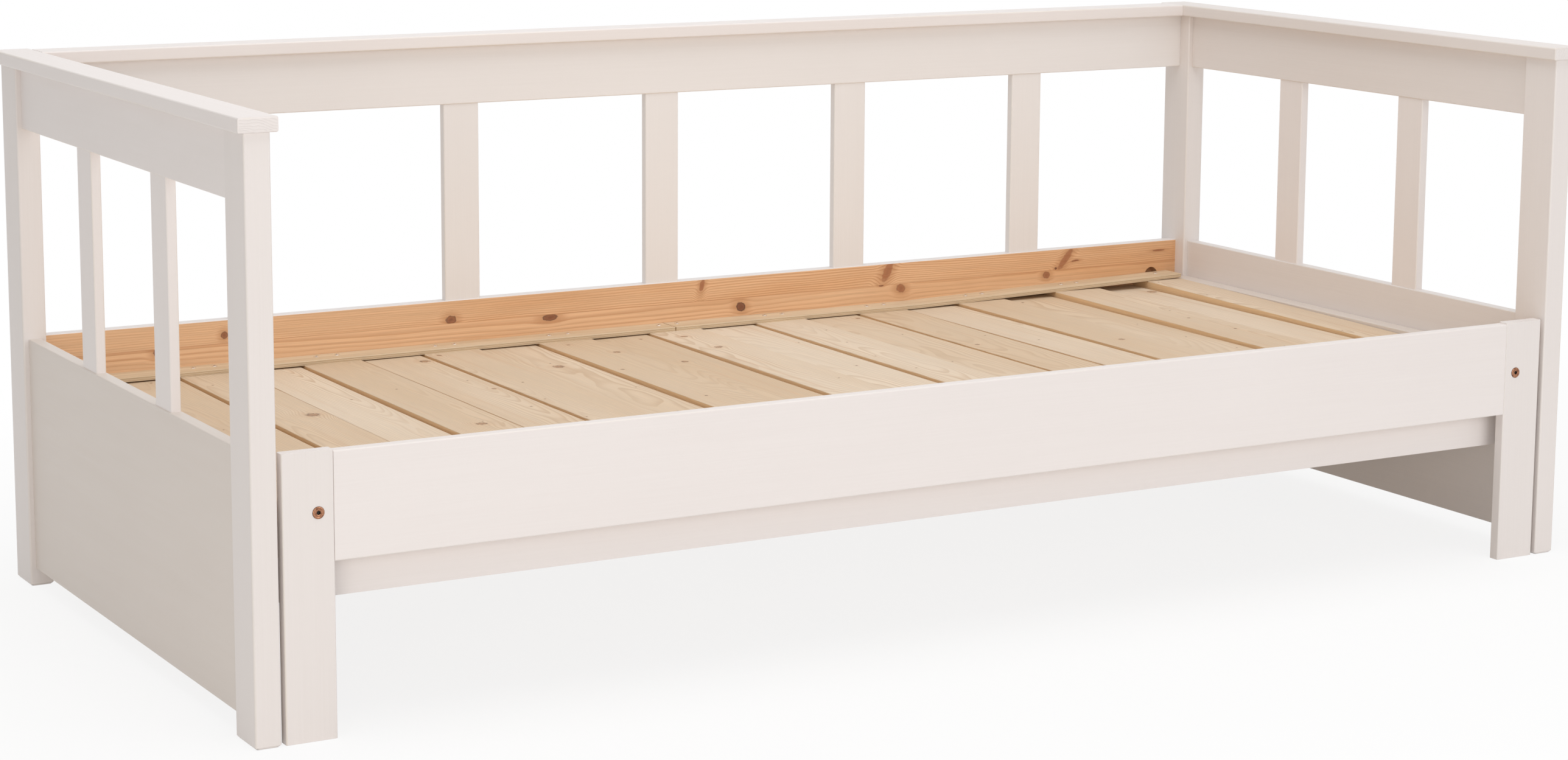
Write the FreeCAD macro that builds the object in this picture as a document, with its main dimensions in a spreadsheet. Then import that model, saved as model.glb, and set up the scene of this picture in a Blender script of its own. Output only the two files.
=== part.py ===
import FreeCAD, Part
import os
import re
import Sketcher

# Pull-out daybed: a fixed frame with two ends and a back, and a front that slides out on its own legs.
# Two combs of slats interlace: one is fixed to the frame, and the other runs out with the front rail.
# The frame is in millimetres: +X along the bed, -Y to the front, +Z up, with the origin on the floor
# under the middle of the bed.

REAR_BALUSTERS = 5
END_BALUSTERS = 2
SIDES = {"left": -1, "right": 1}
TOUCH = 1e-6

SIZES = [
    ("bed_length", 2080, "outer faces of the left and right posts"),
    ("bed_depth", 963, "front face to rear face of the posts"),
    ("post_height", 750, "floor to the underside of the caps"),
    ("post_thickness", 34, "along the bed"),
    ("post_depth", 66, "front to back"),
    ("post_edge", 2.5, "rounding of the posts' upright edges"),
    ("foot_chamfer", 3, "bevel round the foot of each post and leg"),
    ("cap_thickness", 19, "caps on the ends and the back"),
    ("cap_side_overhang", 9, "cap past the faces of the posts"),
    ("cap_end_overhang", 6, "cap past the front and rear of the posts"),
    ("cap_edge", 2.5, "rounding of the caps' edges"),
    ("panel_thickness", 18, "end panels and rear upper panel"),
    ("panel_edge", 1.5, "rounding of the panels' edges"),
    ("panel_bottom", 26, "underside of the lower end panels"),
    ("panel_top", 361, "top of the lower end panels and of the rear rail"),
    ("upper_panel_height", 87.5, "upper panels, top to bottom"),
    ("tongue_depth", 8, "panel tongue into the post"),
    ("tongue_thickness", 8, "panel tongue and baluster tenon"),
    ("tongue_shoulder", 12, "panel past the ends of its tongue"),
    ("joint_clearance", 0.2, "round tongues and tenons, on each face"),
    ("baluster_width", 58, "face of a baluster"),
    ("baluster_thickness", 14, "edge of a baluster"),
    ("baluster_edge", 2, "rounding of a baluster's upright edges"),
    ("tenon_length", 12, "baluster tenon into a panel or rail"),
    ("tenon_shoulder", 8, "baluster past the sides of its tenon"),
    ("rear_rail_thickness", 20, "pine rail along the back"),
    ("rear_rail_height", 139, "rear rail, top to bottom"),
    ("bed_bolt_diameter", 8, "bolt from the rear rail into a rear post"),
    ("bed_bolt_drop", 67, "bolt's axis below the top of the rear rail"),
    ("bed_bolt_embed", 22, "bolt inside the post"),
    ("bolt_clearance", 0.15, "round every bolt, on the radius"),
    ("pocket_diameter", 26, "round pocket for the nut in the rear rail"),
    ("pocket_depth", 17, "pocket into the rail's inner face"),
    ("pocket_inset", 51, "pocket's centre from the end of the rail"),
    ("washer_depth", 6, "half-moon washer, from the pocket wall to its flat"),
    ("nut_width", 13, "across the flats of the nut"),
    ("nut_length", 6.5, "along the bolt"),
    ("bolt_overrun", 3, "bolt past the nut"),
    ("front_setback", 2, "pull-out front behind the faces of the posts"),
    ("leg_width", 67, "pull-out legs, along the bed"),
    ("leg_thickness", 17, "pull-out legs, front to back"),
    ("leg_post_gap", 6.3, "leg to the post beside it"),
    ("leg_rise", 2, "leg past the top of the front rail"),
    ("front_edge", 2, "rounding of the legs and the front rail"),
    ("front_rail_top", 359.5, "top of the front rail"),
    ("front_rail_height", 137, "front rail, top to bottom"),
    ("front_rail_thickness", 17, "front rail, front to back"),
    ("cleat_inset", 1.7, "cleat and bearer behind the leg's outer edge"),
    ("cleat_overlap", 17, "cleat behind the end of the front rail"),
    ("leg_bolt_inset", 20.5, "bolt from the leg's inner edge"),
    ("leg_bolt_drop", 15, "bolt's axis below the top of the cleat"),
    ("leg_bolt_diameter", 7, "shank"),
    ("leg_bolt_embed", 14, "shank inside the cleat"),
    ("leg_bolt_head", 15, "diameter of the head"),
    ("leg_bolt_head_height", 2.4, "head, front to back"),
    ("leg_bolt_recess", 1.4, "head sunk in the leg"),
    ("leg_bolt_socket", 5, "across the flats of the hexagon socket"),
    ("socket_depth", 1.6, "hexagon socket into the head"),
    ("slat_width", 91, "full slat"),
    ("slat_thickness", 18, "all slats"),
    ("slat_gap", 5.25, "between neighbouring slats"),
    ("end_slat_least", 30, "least width left for the outermost fixed slats"),
    ("slat_edge", 1, "rounding along the slats"),
    ("slat_top", 290, "top of the fixed slats"),
    ("slat_step", 2, "notch under each moving slat"),
    ("slat_running_gap", 0.3, "moving slat over the floor of its notch"),
    ("slat_side_gap", 1.5, "moving slat to each side of its notch"),
    ("slat_end_gap", 1, "fixed slats to the rails round them"),
    ("moving_slat_end_gap", 2, "moving slats to the rear rail"),
    ("slat_bearer_thickness", 18, "front and rear slat bearers"),
    ("front_bearer_height", 40, "front slat bearer, top to bottom"),
    ("rear_bearer_height", 50, "rear slat bearer, underside to its lands"),
    ("beam_thickness", 18, "notched cross beam behind the front"),
    ("beam_height", 102, "cross beam, underside to its lands"),
    ("beam_gap", 1, "pull-out front to the cross beam"),
    ("side_rail_width", 27, "rail inside each end panel"),
    ("side_rail_height", 45, "top to bottom"),
    ("side_rail_rise", 10, "top of the side rails over the fixed slats"),
    ("strip_width", 45, "plywood strip over the fixed slats' rear ends"),
    ("strip_thickness", 6.5, "plywood strips"),
    ("strip_end_gap", 0.5, "strip to the side rails"),
    ("tail_strip_width", 24, "plywood strip that ties the moving slats' tails"),
    ("tail_strip_gap", 2, "tail strip to the rear slat bearer"),
]

# Places that several pieces share, as formulas over the sizes.
FRONT = "(-bed_depth / 2)"
REAR = "(bed_depth / 2)"
POST_INNER = "(bed_length / 2 - post_thickness)"
PANEL_OUTER = "(bed_length / 2 - post_thickness / 2 + panel_thickness / 2)"
PANEL_INNER = "(bed_length / 2 - post_thickness / 2 - panel_thickness / 2)"
PANEL_SPAN = "(bed_depth - 2 * post_depth)"
REAR_CENTRE = "(bed_depth / 2 - post_depth / 2)"
REAR_FACE = f"({REAR_CENTRE} - panel_thickness / 2)"
CAP_WIDTH = "(post_thickness + 2 * cap_side_overhang)"
CAP_INNER = f"({POST_INNER} - cap_side_overhang)"
LEG_OUTER = f"({POST_INNER} - leg_post_gap)"
LEG_INNER = f"({LEG_OUTER} - leg_width)"
LEG_FRONT = f"({FRONT} + front_setback)"
LEG_BACK = f"({LEG_FRONT} + leg_thickness)"
CLEAT_OUTER = f"({LEG_OUTER} - cleat_inset)"
UPPER_BOTTOM = "(post_height - upper_panel_height)"
REAR_RAIL_BOTTOM = "(panel_top - rear_rail_height)"
BED_BOLT_HEIGHT = "(panel_top - bed_bolt_drop)"
BEAM_FRONT = f"({LEG_BACK} + slat_bearer_thickness + beam_gap)"
BEARER_FRONT = f"({REAR_FACE} - slat_bearer_thickness)"
SIDE_RAIL_INNER = f"({PANEL_INNER} - side_rail_width)"
LAND = "(slat_top - slat_thickness)"
NOTCH_FLOOR = f"({LAND} - slat_step)"
MOVING_BOTTOM = f"({NOTCH_FLOOR} + slat_running_gap)"
NOTCH_WIDTH = "(slat_width + 2 * slat_side_gap)"
SIDE_RAIL_TOP = "(slat_top + side_rail_rise)"
SLAT_PITCH = "(slat_width + slat_gap)"
LEG_BOLT_HEIGHT = f"({SIDE_RAIL_TOP} - leg_bolt_drop)"

doc = FreeCAD.newDocument("PulloutDaybed")
sheet = doc.addObject("Spreadsheet::Sheet", "Sizes")
for row, (alias, value, meaning) in enumerate(SIZES, start=1):
    sheet.set(f"A{row}", meaning)
    sheet.set(f"B{row}", str(value))
    sheet.setAlias(f"B{row}", alias)
doc.recompute()

# As many fixed slats fit each side of the middle one as leave room for a cut one at the end.
half_room = (sheet.bed_length - sheet.post_thickness - sheet.panel_thickness) / 2
half_room = half_room - sheet.side_rail_width - sheet.slat_end_gap
slat_step_along = 2 * (sheet.slat_width + sheet.slat_gap)
fixed_each_side = int((half_room + sheet.slat_width / 2 - sheet.end_slat_least) // slat_step_along)
moving_count = 2 * fixed_each_side
MOVING_REACH = f"({moving_count - 1} * {SLAT_PITCH} + slat_width / 2)"
CLEAT_INNER = f"max({LEG_INNER} - cleat_overlap; {MOVING_REACH} + slat_side_gap)"

pieces = []
cuts = []


def formula(text):
    """Points each size name in a formula at the sheet, and leaves functions alone."""
    return re.sub(r"\b[a-z][a-z_]+\b(?!\()", r"Sizes.\g<0>", text)


def bind(item, target, text):
    item.setExpression(target, formula(text))


def place(item, target, at):
    """Binds the three coordinates of a placement."""
    for axis, text in zip("xyz", at):
        bind(item, f"{target}.Base.{axis}", text)


def new_body(label, at):
    body = doc.addObject("PartDesign::Body", label)
    body.Label = label
    place(body, "Placement", at)
    pieces.append(body)
    return body


def sketch_on(body, name, role, at):
    """Starts a sketch on one of the body's own planes, moved by formulas."""
    sketch = body.newObject("Sketcher::SketchObject", name)
    plane = next(item for item in body.Origin.OriginFeatures if item.Role == role)
    sketch.AttachmentSupport = [(plane, "")]
    sketch.MapMode = "FlatFace"
    place(sketch, "AttachmentOffset", at)
    return sketch


def rectangle(body, name, at, across, along):
    """Sketches a rectangle whose near left corner is the sketch's origin."""
    sketch = sketch_on(body, name, "XY_Plane", at)
    corners = [FreeCAD.Vector(x, y, 0) for x, y in ((0, 0), (1, 0), (1, 1), (0, 1))]
    for side in range(4):
        sketch.addGeometry(Part.LineSegment(corners[side], corners[(side + 1) % 4]))
    for side in range(4):
        sketch.addConstraint(Sketcher.Constraint("Coincident", side, 2, (side + 1) % 4, 1))
    for side, way in enumerate(("Horizontal", "Vertical", "Horizontal", "Vertical")):
        sketch.addConstraint(Sketcher.Constraint(way, side))
    sketch.addConstraint(Sketcher.Constraint("Coincident", 0, 1, -1, 1))
    sketch.addConstraint(Sketcher.Constraint("DistanceX", 0, 1, 0, 2, 1))
    sketch.renameConstraint(sketch.ConstraintCount - 1, "across")
    sketch.addConstraint(Sketcher.Constraint("DistanceY", 1, 1, 1, 2, 1))
    sketch.renameConstraint(sketch.ConstraintCount - 1, "along")
    bind(sketch, "Constraints.across", across)
    bind(sketch, "Constraints.along", along)
    return sketch


def add_block(body, name, at, across, along, up):
    """Pads a rectangle upwards from its place in the body."""
    pad = body.newObject("PartDesign::Pad", name)
    pad.Profile = rectangle(body, f"{name}_outline", at, across, along)
    bind(pad, "Length", up)
    doc.recompute()
    return pad


def cut_block(body, name, at, across, along, up):
    """Cuts a rectangle upwards from its place in the body."""
    before = body.Shape.Volume
    pocket = body.newObject("PartDesign::Pocket", name)
    pocket.Profile = rectangle(body, f"{name}_outline", at, across, along)
    pocket.Reversed = True
    bind(pocket, "Length", up)
    doc.recompute()
    cuts.append((pocket.Name, before, body.Shape.Volume))
    return pocket


def bore(body, name, role, at, diameter, depth, towards_normal):
    """Cuts a round hole square to one of the body's planes."""
    before = body.Shape.Volume
    sketch = sketch_on(body, f"{name}_outline", role, at)
    sketch.addGeometry(Part.Circle(FreeCAD.Vector(0, 0, 0), FreeCAD.Vector(0, 0, 1), 1))
    sketch.addConstraint(Sketcher.Constraint("Coincident", 0, 3, -1, 1))
    sketch.addConstraint(Sketcher.Constraint("Diameter", 0, 2))
    sketch.renameConstraint(sketch.ConstraintCount - 1, "across")
    bind(sketch, "Constraints.across", diameter)
    pocket = body.newObject("PartDesign::Pocket", name)
    pocket.Profile = sketch
    pocket.Reversed = towards_normal
    bind(pocket, "Length", depth)
    doc.recompute()
    cuts.append((pocket.Name, before, body.Shape.Volume))
    return pocket


def repeat(body, feature, count, spacing):
    """Repeats a cut along the body's X axis."""
    before = body.Shape.Volume
    pattern = body.newObject("PartDesign::LinearPattern", f"{feature.Name}_row")
    pattern.Originals = [feature]
    axis = next(item for item in body.Origin.OriginFeatures if item.Role == "X_Axis")
    pattern.Direction = (axis, [""])
    pattern.Occurrences = count
    bind(pattern, "Length", f"({count - 1} * {spacing})")
    body.Tip = pattern
    doc.recompute()
    cuts.append((pattern.Name, before, body.Shape.Volume))


def lies_along(edge, axis):
    """Says whether a straight edge runs along x, y or z."""
    if len(edge.Vertexes) != 2:
        return False
    step = edge.Vertexes[1].Point - edge.Vertexes[0].Point
    return abs(getattr(step, axis)) > 0.999 * step.Length


def soften(body, base, kind, size, chosen):
    """Rounds or bevels the chosen edges of a feature."""
    edges = [f"Edge{n}" for n, edge in enumerate(base.Shape.Edges, start=1) if chosen(edge)]
    feature = body.newObject(f"PartDesign::{kind}", f"{base.Name}_{kind.lower()}")
    feature.Base = (base, edges)
    bind(feature, "Radius" if kind == "Fillet" else "Size", size)
    doc.recompute()
    return feature


def at_level(level):
    """Makes a test for edges that lie wholly at one height."""
    return lambda edge: all(abs(corner.Z - level) < TOUCH for corner in edge.Vertexes)


def posts():
    """Four square-cut posts, grooved for the panels; the rear ones also take the back."""
    for side, sign in SIDES.items():
        left = f"{sign} * bed_length / 2 - {(sign + 1) // 2} * post_thickness"
        for end, near in (("front", FRONT), ("rear", f"({REAR} - post_depth)")):
            post = new_body(f"post_{end}_{side}", (left, near, "0"))
            name = post.Name
            shaft = add_block(post, f"{name}_shaft", ("0", "0", "0"),
                              "post_thickness", "post_depth", "post_height")
            shaft = soften(post, shaft, "Chamfer", "foot_chamfer", at_level(0))
            soften(post, shaft, "Fillet", "post_edge", lambda edge: lies_along(edge, "z"))
            groove_depth = "(tongue_depth + joint_clearance)"
            groove_width = "(tongue_thickness + 2 * joint_clearance)"
            groove_y = f"(post_depth - {groove_depth})" if end == "front" else "0"
            for level, low, high in (("lower", "panel_bottom", "panel_top"),
                                     ("upper", UPPER_BOTTOM, "post_height")):
                cut_block(post, f"{name}_{level}_groove",
                          (f"(post_thickness - {groove_width}) / 2", groove_y,
                           f"{low} + tongue_shoulder - joint_clearance"),
                          groove_width, groove_depth,
                          f"{high} - {low} - 2 * tongue_shoulder + 2 * joint_clearance")
            if end == "rear":
                inner = "0" if sign > 0 else f"post_thickness - {groove_depth}"
                cut_block(post, f"{name}_back_groove",
                          (inner, f"(post_depth - {groove_width}) / 2",
                           f"{UPPER_BOTTOM} + tongue_shoulder - joint_clearance"),
                          groove_depth, groove_width,
                          "upper_panel_height - 2 * tongue_shoulder + 2 * joint_clearance")
                bore(post, f"{name}_bolt_hole", "YZ_Plane",
                     ("(post_depth - panel_thickness + rear_rail_thickness) / 2", BED_BOLT_HEIGHT,
                      "0" if sign > 0 else "post_thickness"),
                     "bed_bolt_diameter + 2 * bolt_clearance", "bed_bolt_embed + bolt_clearance",
                     sign > 0)


def caps():
    """Flat caps: one along each end, and one along the back between them."""
    runs = {f"cap_{side}": (f"{sign} * ({CAP_INNER} + {CAP_WIDTH} / 2) - {CAP_WIDTH} / 2",
                            f"{FRONT} - cap_end_overhang", CAP_WIDTH, "bed_depth + 2 * cap_end_overhang")
            for side, sign in SIDES.items()}
    runs["cap_rear"] = (f"-{CAP_INNER}", f"{REAR_CENTRE} - {CAP_WIDTH} / 2", f"2 * {CAP_INNER}", CAP_WIDTH)
    for label, (x, y, across, along) in runs.items():
        cap = new_body(label, (x, y, "post_height"))
        slab = add_block(cap, f"{label}_slab", ("0", "0", "0"), across, along, "cap_thickness")
        run = "x" if label == "cap_rear" else "y"
        soften(cap, slab, "Fillet", "cap_edge", lambda edge: lies_along(edge, run))


def end_panels():
    """Lower and upper panels of each end, with tongues into the posts and mortises for the balusters."""
    gap = f"(({PANEL_SPAN} - {END_BALUSTERS} * baluster_width) / {END_BALUSTERS + 1})"
    for side, sign in SIDES.items():
        left = f"{sign} * ({PANEL_OUTER} - panel_thickness / 2) - panel_thickness / 2"
        for level, low, high in (("lower", "panel_bottom", "panel_top"),
                                 ("upper", UPPER_BOTTOM, "post_height")):
            label = f"end_panel_{level}_{side}"
            panel = new_body(label, (left, f"{FRONT} + post_depth", low))
            height = f"({high} - {low})"
            slab = add_block(panel, f"{label}_slab", ("0", "0", "0"), "panel_thickness", PANEL_SPAN, height)
            soften(panel, slab, "Fillet", "panel_edge", lambda edge: lies_along(edge, "y"))
            for end, y in (("front", "-tongue_depth"), ("rear", PANEL_SPAN)):
                add_block(panel, f"{label}_{end}_tongue",
                          ("(panel_thickness - tongue_thickness) / 2", y, "tongue_shoulder"),
                          "tongue_thickness", "tongue_depth", f"{height} - 2 * tongue_shoulder")
            depth = "(tenon_length + joint_clearance)"
            for count in range(END_BALUSTERS):
                baluster_front = f"{count + 1} * {gap} + {count} * baluster_width"
                cut_block(panel, f"{label}_mortise_{count + 1}",
                          ("(panel_thickness - tongue_thickness) / 2 - joint_clearance",
                           f"{baluster_front} + tenon_shoulder - joint_clearance",
                           f"{height} - {depth}" if level == "lower" else "0"),
                          "tongue_thickness + 2 * joint_clearance",
                          "baluster_width - 2 * tenon_shoulder + 2 * joint_clearance", depth)


def baluster(label, at, across, along):
    """One flat baluster with a tenon at each end; its face runs along x or y."""
    body = new_body(label, at)
    height = f"({UPPER_BOTTOM} - panel_top)"
    bar = add_block(body, f"{label}_bar", ("0", "0", "0"), across, along, height)
    soften(body, bar, "Fillet", "baluster_edge", lambda edge: lies_along(edge, "z"))
    inset = {"baluster_width": ("tenon_shoulder", "baluster_width - 2 * tenon_shoulder"),
             "baluster_thickness": ("(baluster_thickness - tongue_thickness) / 2", "tongue_thickness")}
    (x, wide), (y, deep) = inset[across], inset[along]
    for end, z in (("lower", "-tenon_length"), ("upper", height)):
        add_block(body, f"{label}_{end}_tenon", (x, y, z), wide, deep, "tenon_length")


def balusters():
    end_gap = f"(({PANEL_SPAN} - {END_BALUSTERS} * baluster_width) / {END_BALUSTERS + 1})"
    for side, sign in SIDES.items():
        x = f"{sign} * (bed_length / 2 - post_thickness / 2) - baluster_thickness / 2"
        for count in range(END_BALUSTERS):
            y = f"{FRONT} + post_depth + {count + 1} * {end_gap} + {count} * baluster_width"
            baluster(f"end_baluster_{side}_{count + 1}", (x, y, "panel_top"),
                     "baluster_thickness", "baluster_width")
    for count in range(REAR_BALUSTERS):
        baluster(f"rear_baluster_{count + 1}",
                 (rear_baluster_left(count), f"{REAR_CENTRE} - baluster_thickness / 2", "panel_top"),
                 "baluster_width", "baluster_thickness")


def rear_baluster_left(count):
    """Left edge of a rear baluster: the gaps along the back are equal."""
    gap = f"((2 * {POST_INNER} - {REAR_BALUSTERS} * baluster_width) / {REAR_BALUSTERS + 1})"
    return f"(-{POST_INNER} + {count + 1} * {gap} + {count} * baluster_width)"


def rear_mortises(body, label, y, z):
    """Mortises along a rear board, one under or over each rear baluster."""
    for count in range(REAR_BALUSTERS):
        cut_block(body, f"{label}_mortise_{count + 1}",
                  (f"{rear_baluster_left(count)} + {POST_INNER} + tenon_shoulder - joint_clearance",
                   f"{y} - tongue_thickness / 2 - joint_clearance", z),
                  "baluster_width - 2 * tenon_shoulder + 2 * joint_clearance",
                  "tongue_thickness + 2 * joint_clearance", "tenon_length + joint_clearance")


def rear_boards():
    """The back: an upper panel under the cap, and a pine rail bolted between the rear posts."""
    panel = new_body("rear_panel_upper", (f"-{POST_INNER}", REAR_FACE, UPPER_BOTTOM))
    height = "upper_panel_height"
    slab = add_block(panel, "rear_panel_slab", ("0", "0", "0"),
                     f"2 * {POST_INNER}", "panel_thickness", height)
    soften(panel, slab, "Fillet", "panel_edge", lambda edge: lies_along(edge, "x"))
    for side, x in (("left", "-tongue_depth"), ("right", f"2 * {POST_INNER}")):
        add_block(panel, f"rear_panel_{side}_tongue",
                  (x, "(panel_thickness - tongue_thickness) / 2", "tongue_shoulder"),
                  "tongue_depth", "tongue_thickness", f"{height} - 2 * tongue_shoulder")
    rear_mortises(panel, "rear_panel", "panel_thickness / 2", "0")

    rail = new_body("rear_rail", (f"-{POST_INNER}", REAR_FACE, REAR_RAIL_BOTTOM))
    height = "rear_rail_height"
    slab = add_block(rail, "rear_rail_slab", ("0", "0", "0"),
                     f"2 * {POST_INNER}", "rear_rail_thickness", height)
    soften(rail, slab, "Fillet", "panel_edge", lambda edge: lies_along(edge, "x"))
    rear_mortises(rail, "rear_rail", "panel_thickness / 2", f"{height} - tenon_length - joint_clearance")
    axis_z = "rear_rail_height - bed_bolt_drop"
    for side, x, end, inward in (("left", "pocket_inset", "0", True),
                                 ("right", f"2 * {POST_INNER} - pocket_inset", f"2 * {POST_INNER}", False)):
        bore(rail, f"rear_rail_{side}_pocket", "XZ_Plane", (x, axis_z, "0"),
             "pocket_diameter", "pocket_depth", False)
        bore(rail, f"rear_rail_{side}_bolt_hole", "YZ_Plane", ("rear_rail_thickness / 2", axis_z, end),
             "bed_bolt_diameter + 2 * bolt_clearance", "pocket_inset", inward)


def notched_board(label, at, length, thickness, height):
    """A board on edge whose top is notched under every moving slat; its lands carry the fixed slats."""
    body = new_body(label, at)
    add_block(body, f"{label}_board", ("0", "0", "0"), length, thickness, height)
    notch = cut_block(body, f"{label}_notch",
                      (f"{length} / 2 - {moving_count - 1} * {SLAT_PITCH} - {NOTCH_WIDTH} / 2", "0",
                       f"{height} - slat_step"),
                      NOTCH_WIDTH, thickness, "slat_step")
    repeat(body, notch, moving_count, f"2 * {SLAT_PITCH}")


def slat_supports():
    """Notched beam between the front posts, notched bearer on the rear rail, and plain side rails."""
    notched_board("front_beam", (f"-{POST_INNER}", BEAM_FRONT, f"{LAND} - beam_height"),
                  f"(2 * {POST_INNER})", "beam_thickness", "beam_height")
    notched_board("rear_slat_bearer", (f"-{SIDE_RAIL_INNER}", BEARER_FRONT, f"{LAND} - rear_bearer_height"),
                  f"(2 * {SIDE_RAIL_INNER})", "slat_bearer_thickness", "rear_bearer_height")
    for side, sign in SIDES.items():
        label = f"side_rail_{side}"
        near = f"max({FRONT} + post_depth; {BEAM_FRONT} + beam_thickness)"
        rail = new_body(label, (f"{sign} * ({PANEL_INNER} - side_rail_width / 2) - side_rail_width / 2",
                                near, f"{SIDE_RAIL_TOP} - side_rail_height"))
        bar = add_block(rail, f"{label}_bar", ("0", "0", "0"), "side_rail_width",
                        f"{REAR_FACE} - {near}", "side_rail_height")
        soften(rail, bar, "Fillet", "panel_edge", lambda edge: lies_along(edge, "y"))
        notch_width = "((post_thickness - panel_thickness) / 2 + joint_clearance)"
        notch_depth = f"({REAR_FACE} - {REAR} + post_depth + joint_clearance)"
        cut_block(rail, f"{label}_post_notch",
                  ("0" if sign < 0 else f"side_rail_width - {notch_width}",
                   f"{REAR_FACE} - {near} - {notch_depth}", "0"),
                  notch_width, notch_depth, "side_rail_height")


def slat(label, left, near, bottom, width, length):
    body = new_body(label, (left, near, bottom))
    board = add_block(body, f"{label}_board", ("0", "0", "0"), width, length, "slat_thickness")
    soften(body, board, "Fillet", "slat_edge", lambda edge: lies_along(edge, "y"))


def fixed_slats():
    """Slats on the lands of the beam and the rear bearer; the two outermost are cut narrow."""
    length = f"{REAR_FACE} - {BEAM_FRONT} - slat_end_gap"
    last = fixed_each_side
    inner = f"({2 * last} * {SLAT_PITCH} - slat_width / 2)"
    cut_width = f"({SIDE_RAIL_INNER} - slat_end_gap - {inner})"
    for count in range(-last, last + 1):
        left, width = f"{2 * count} * {SLAT_PITCH} - slat_width / 2", "slat_width"
        if count == -last:
            left, width = f"-{inner} - {cut_width}", cut_width
        if count == last:
            left, width = inner, cut_width
        slat(f"fixed_slat_{count + last + 1:02d}", left, BEAM_FRONT, LAND, width, length)


def retaining_strips():
    """Two lengths of plywood, butted on the middle slat, that hold the fixed slats' rear ends down."""
    half = f"({SIDE_RAIL_INNER} - strip_end_gap)"
    for side, left in (("left", f"-{half}"), ("right", "0")):
        label = f"retaining_strip_{side}"
        strip = new_body(label, (left, f"{REAR_FACE} - strip_width", "slat_top"))
        add_block(strip, f"{label}_board", ("0", "0", "0"), half, "strip_width", "strip_thickness")


def pullout_front():
    """Two legs and the front rail, the slat bearer behind them, and a cleat at each leg."""
    for side, sign in SIDES.items():
        left = f"{sign} * ({LEG_OUTER} - leg_width / 2) - leg_width / 2"
        leg = new_body(f"leg_{side}", (left, LEG_FRONT, "0"))
        name = leg.Name
        board = add_block(leg, f"{name}_board", ("0", "0", "0"), "leg_width", "leg_thickness",
                          "front_rail_top + leg_rise")
        board = soften(leg, board, "Chamfer", "foot_chamfer", at_level(0))
        soften(leg, board, "Fillet", "front_edge", lambda edge: lies_along(edge, "z"))
        bolt_x = "leg_width - leg_bolt_inset" if sign < 0 else "leg_bolt_inset"
        bore(leg, f"{name}_bolt_hole", "XZ_Plane", (bolt_x, LEG_BOLT_HEIGHT, "0"),
             "leg_bolt_diameter + 2 * bolt_clearance", "leg_thickness", False)
        bore(leg, f"{name}_bolt_seat", "XZ_Plane", (bolt_x, LEG_BOLT_HEIGHT, "0"),
             "leg_bolt_head + 2 * bolt_clearance", "leg_bolt_recess", False)

        width = f"({CLEAT_OUTER} - {CLEAT_INNER})"
        cleat = new_body(f"leg_cleat_{side}", (f"{sign} * ({CLEAT_OUTER} - {width} / 2) - {width} / 2",
                                               LEG_BACK, MOVING_BOTTOM))
        name = cleat.Name
        add_block(cleat, f"{name}_block", ("0", "0", "0"), width, "slat_bearer_thickness",
                  f"{SIDE_RAIL_TOP} - {MOVING_BOTTOM}")
        reach = f"({LEG_INNER} + leg_bolt_inset - {CLEAT_INNER})"
        bolt_x = f"{width} - {reach}" if sign < 0 else reach
        bore(cleat, f"{name}_bolt_hole", "XZ_Plane", (bolt_x, f"{LEG_BOLT_HEIGHT} - {MOVING_BOTTOM}", "0"),
             "leg_bolt_diameter + 2 * bolt_clearance", "leg_bolt_embed + bolt_clearance", False)

    rail = new_body("front_rail", (f"-{LEG_INNER}", f"{LEG_BACK} - front_rail_thickness",
                                   "front_rail_top - front_rail_height"))
    board = add_block(rail, "front_rail_board", ("0", "0", "0"), f"2 * {LEG_INNER}",
                      "front_rail_thickness", "front_rail_height")
    soften(rail, board, "Fillet", "front_edge", lambda edge: lies_along(edge, "x"))

    bearer = new_body("front_slat_bearer", (f"-{CLEAT_OUTER}", LEG_BACK,
                                            f"{MOVING_BOTTOM} - front_bearer_height"))
    add_block(bearer, "front_slat_bearer_board", ("0", "0", "0"), f"2 * {CLEAT_OUTER}",
              "slat_bearer_thickness", "front_bearer_height")


def moving_slats():
    """Slats that run out with the front, tied at their tails by a strip that stops on the beam."""
    length = f"{REAR_FACE} - moving_slat_end_gap - {LEG_BACK}"
    for count in range(moving_count):
        left = f"{2 * count - moving_count + 1} * {SLAT_PITCH} - slat_width / 2"
        slat(f"moving_slat_{count + 1:02d}", left, LEG_BACK, MOVING_BOTTOM, "slat_width", length)
    strip = new_body("tail_strip", (f"-{MOVING_REACH}", f"{BEARER_FRONT} - tail_strip_gap - tail_strip_width",
                                    f"{MOVING_BOTTOM} - strip_thickness"))
    add_block(strip, "tail_strip_board", ("0", "0", "0"), f"2 * {MOVING_REACH}",
              "tail_strip_width", "strip_thickness")


def turned(kind, name, axis, at, **sizes):
    """A round or six-sided solid along x or y, placed and sized by formulas."""
    solid = doc.addObject(f"Part::{kind}", name)
    spin = {"x": (FreeCAD.Vector(0, 1, 0), 90), "y": (FreeCAD.Vector(1, 0, 0), -90)}[axis]
    solid.Placement = FreeCAD.Placement(FreeCAD.Vector(0, 0, 0), FreeCAD.Rotation(*spin))
    place(solid, "Placement", at)
    for prop, text in sizes.items():
        bind(solid, prop, text)
    return solid


def combine(kind, name, base, tool):
    result = doc.addObject(f"Part::{kind}", name)
    result.Base = base
    result.Tool = tool
    return result


def group(label, members):
    """Like fasteners share one node, each still a solid of its own."""
    compound = doc.addObject("Part::Compound", label)
    compound.Label = label
    compound.Links = members
    pieces.append(compound)


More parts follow.
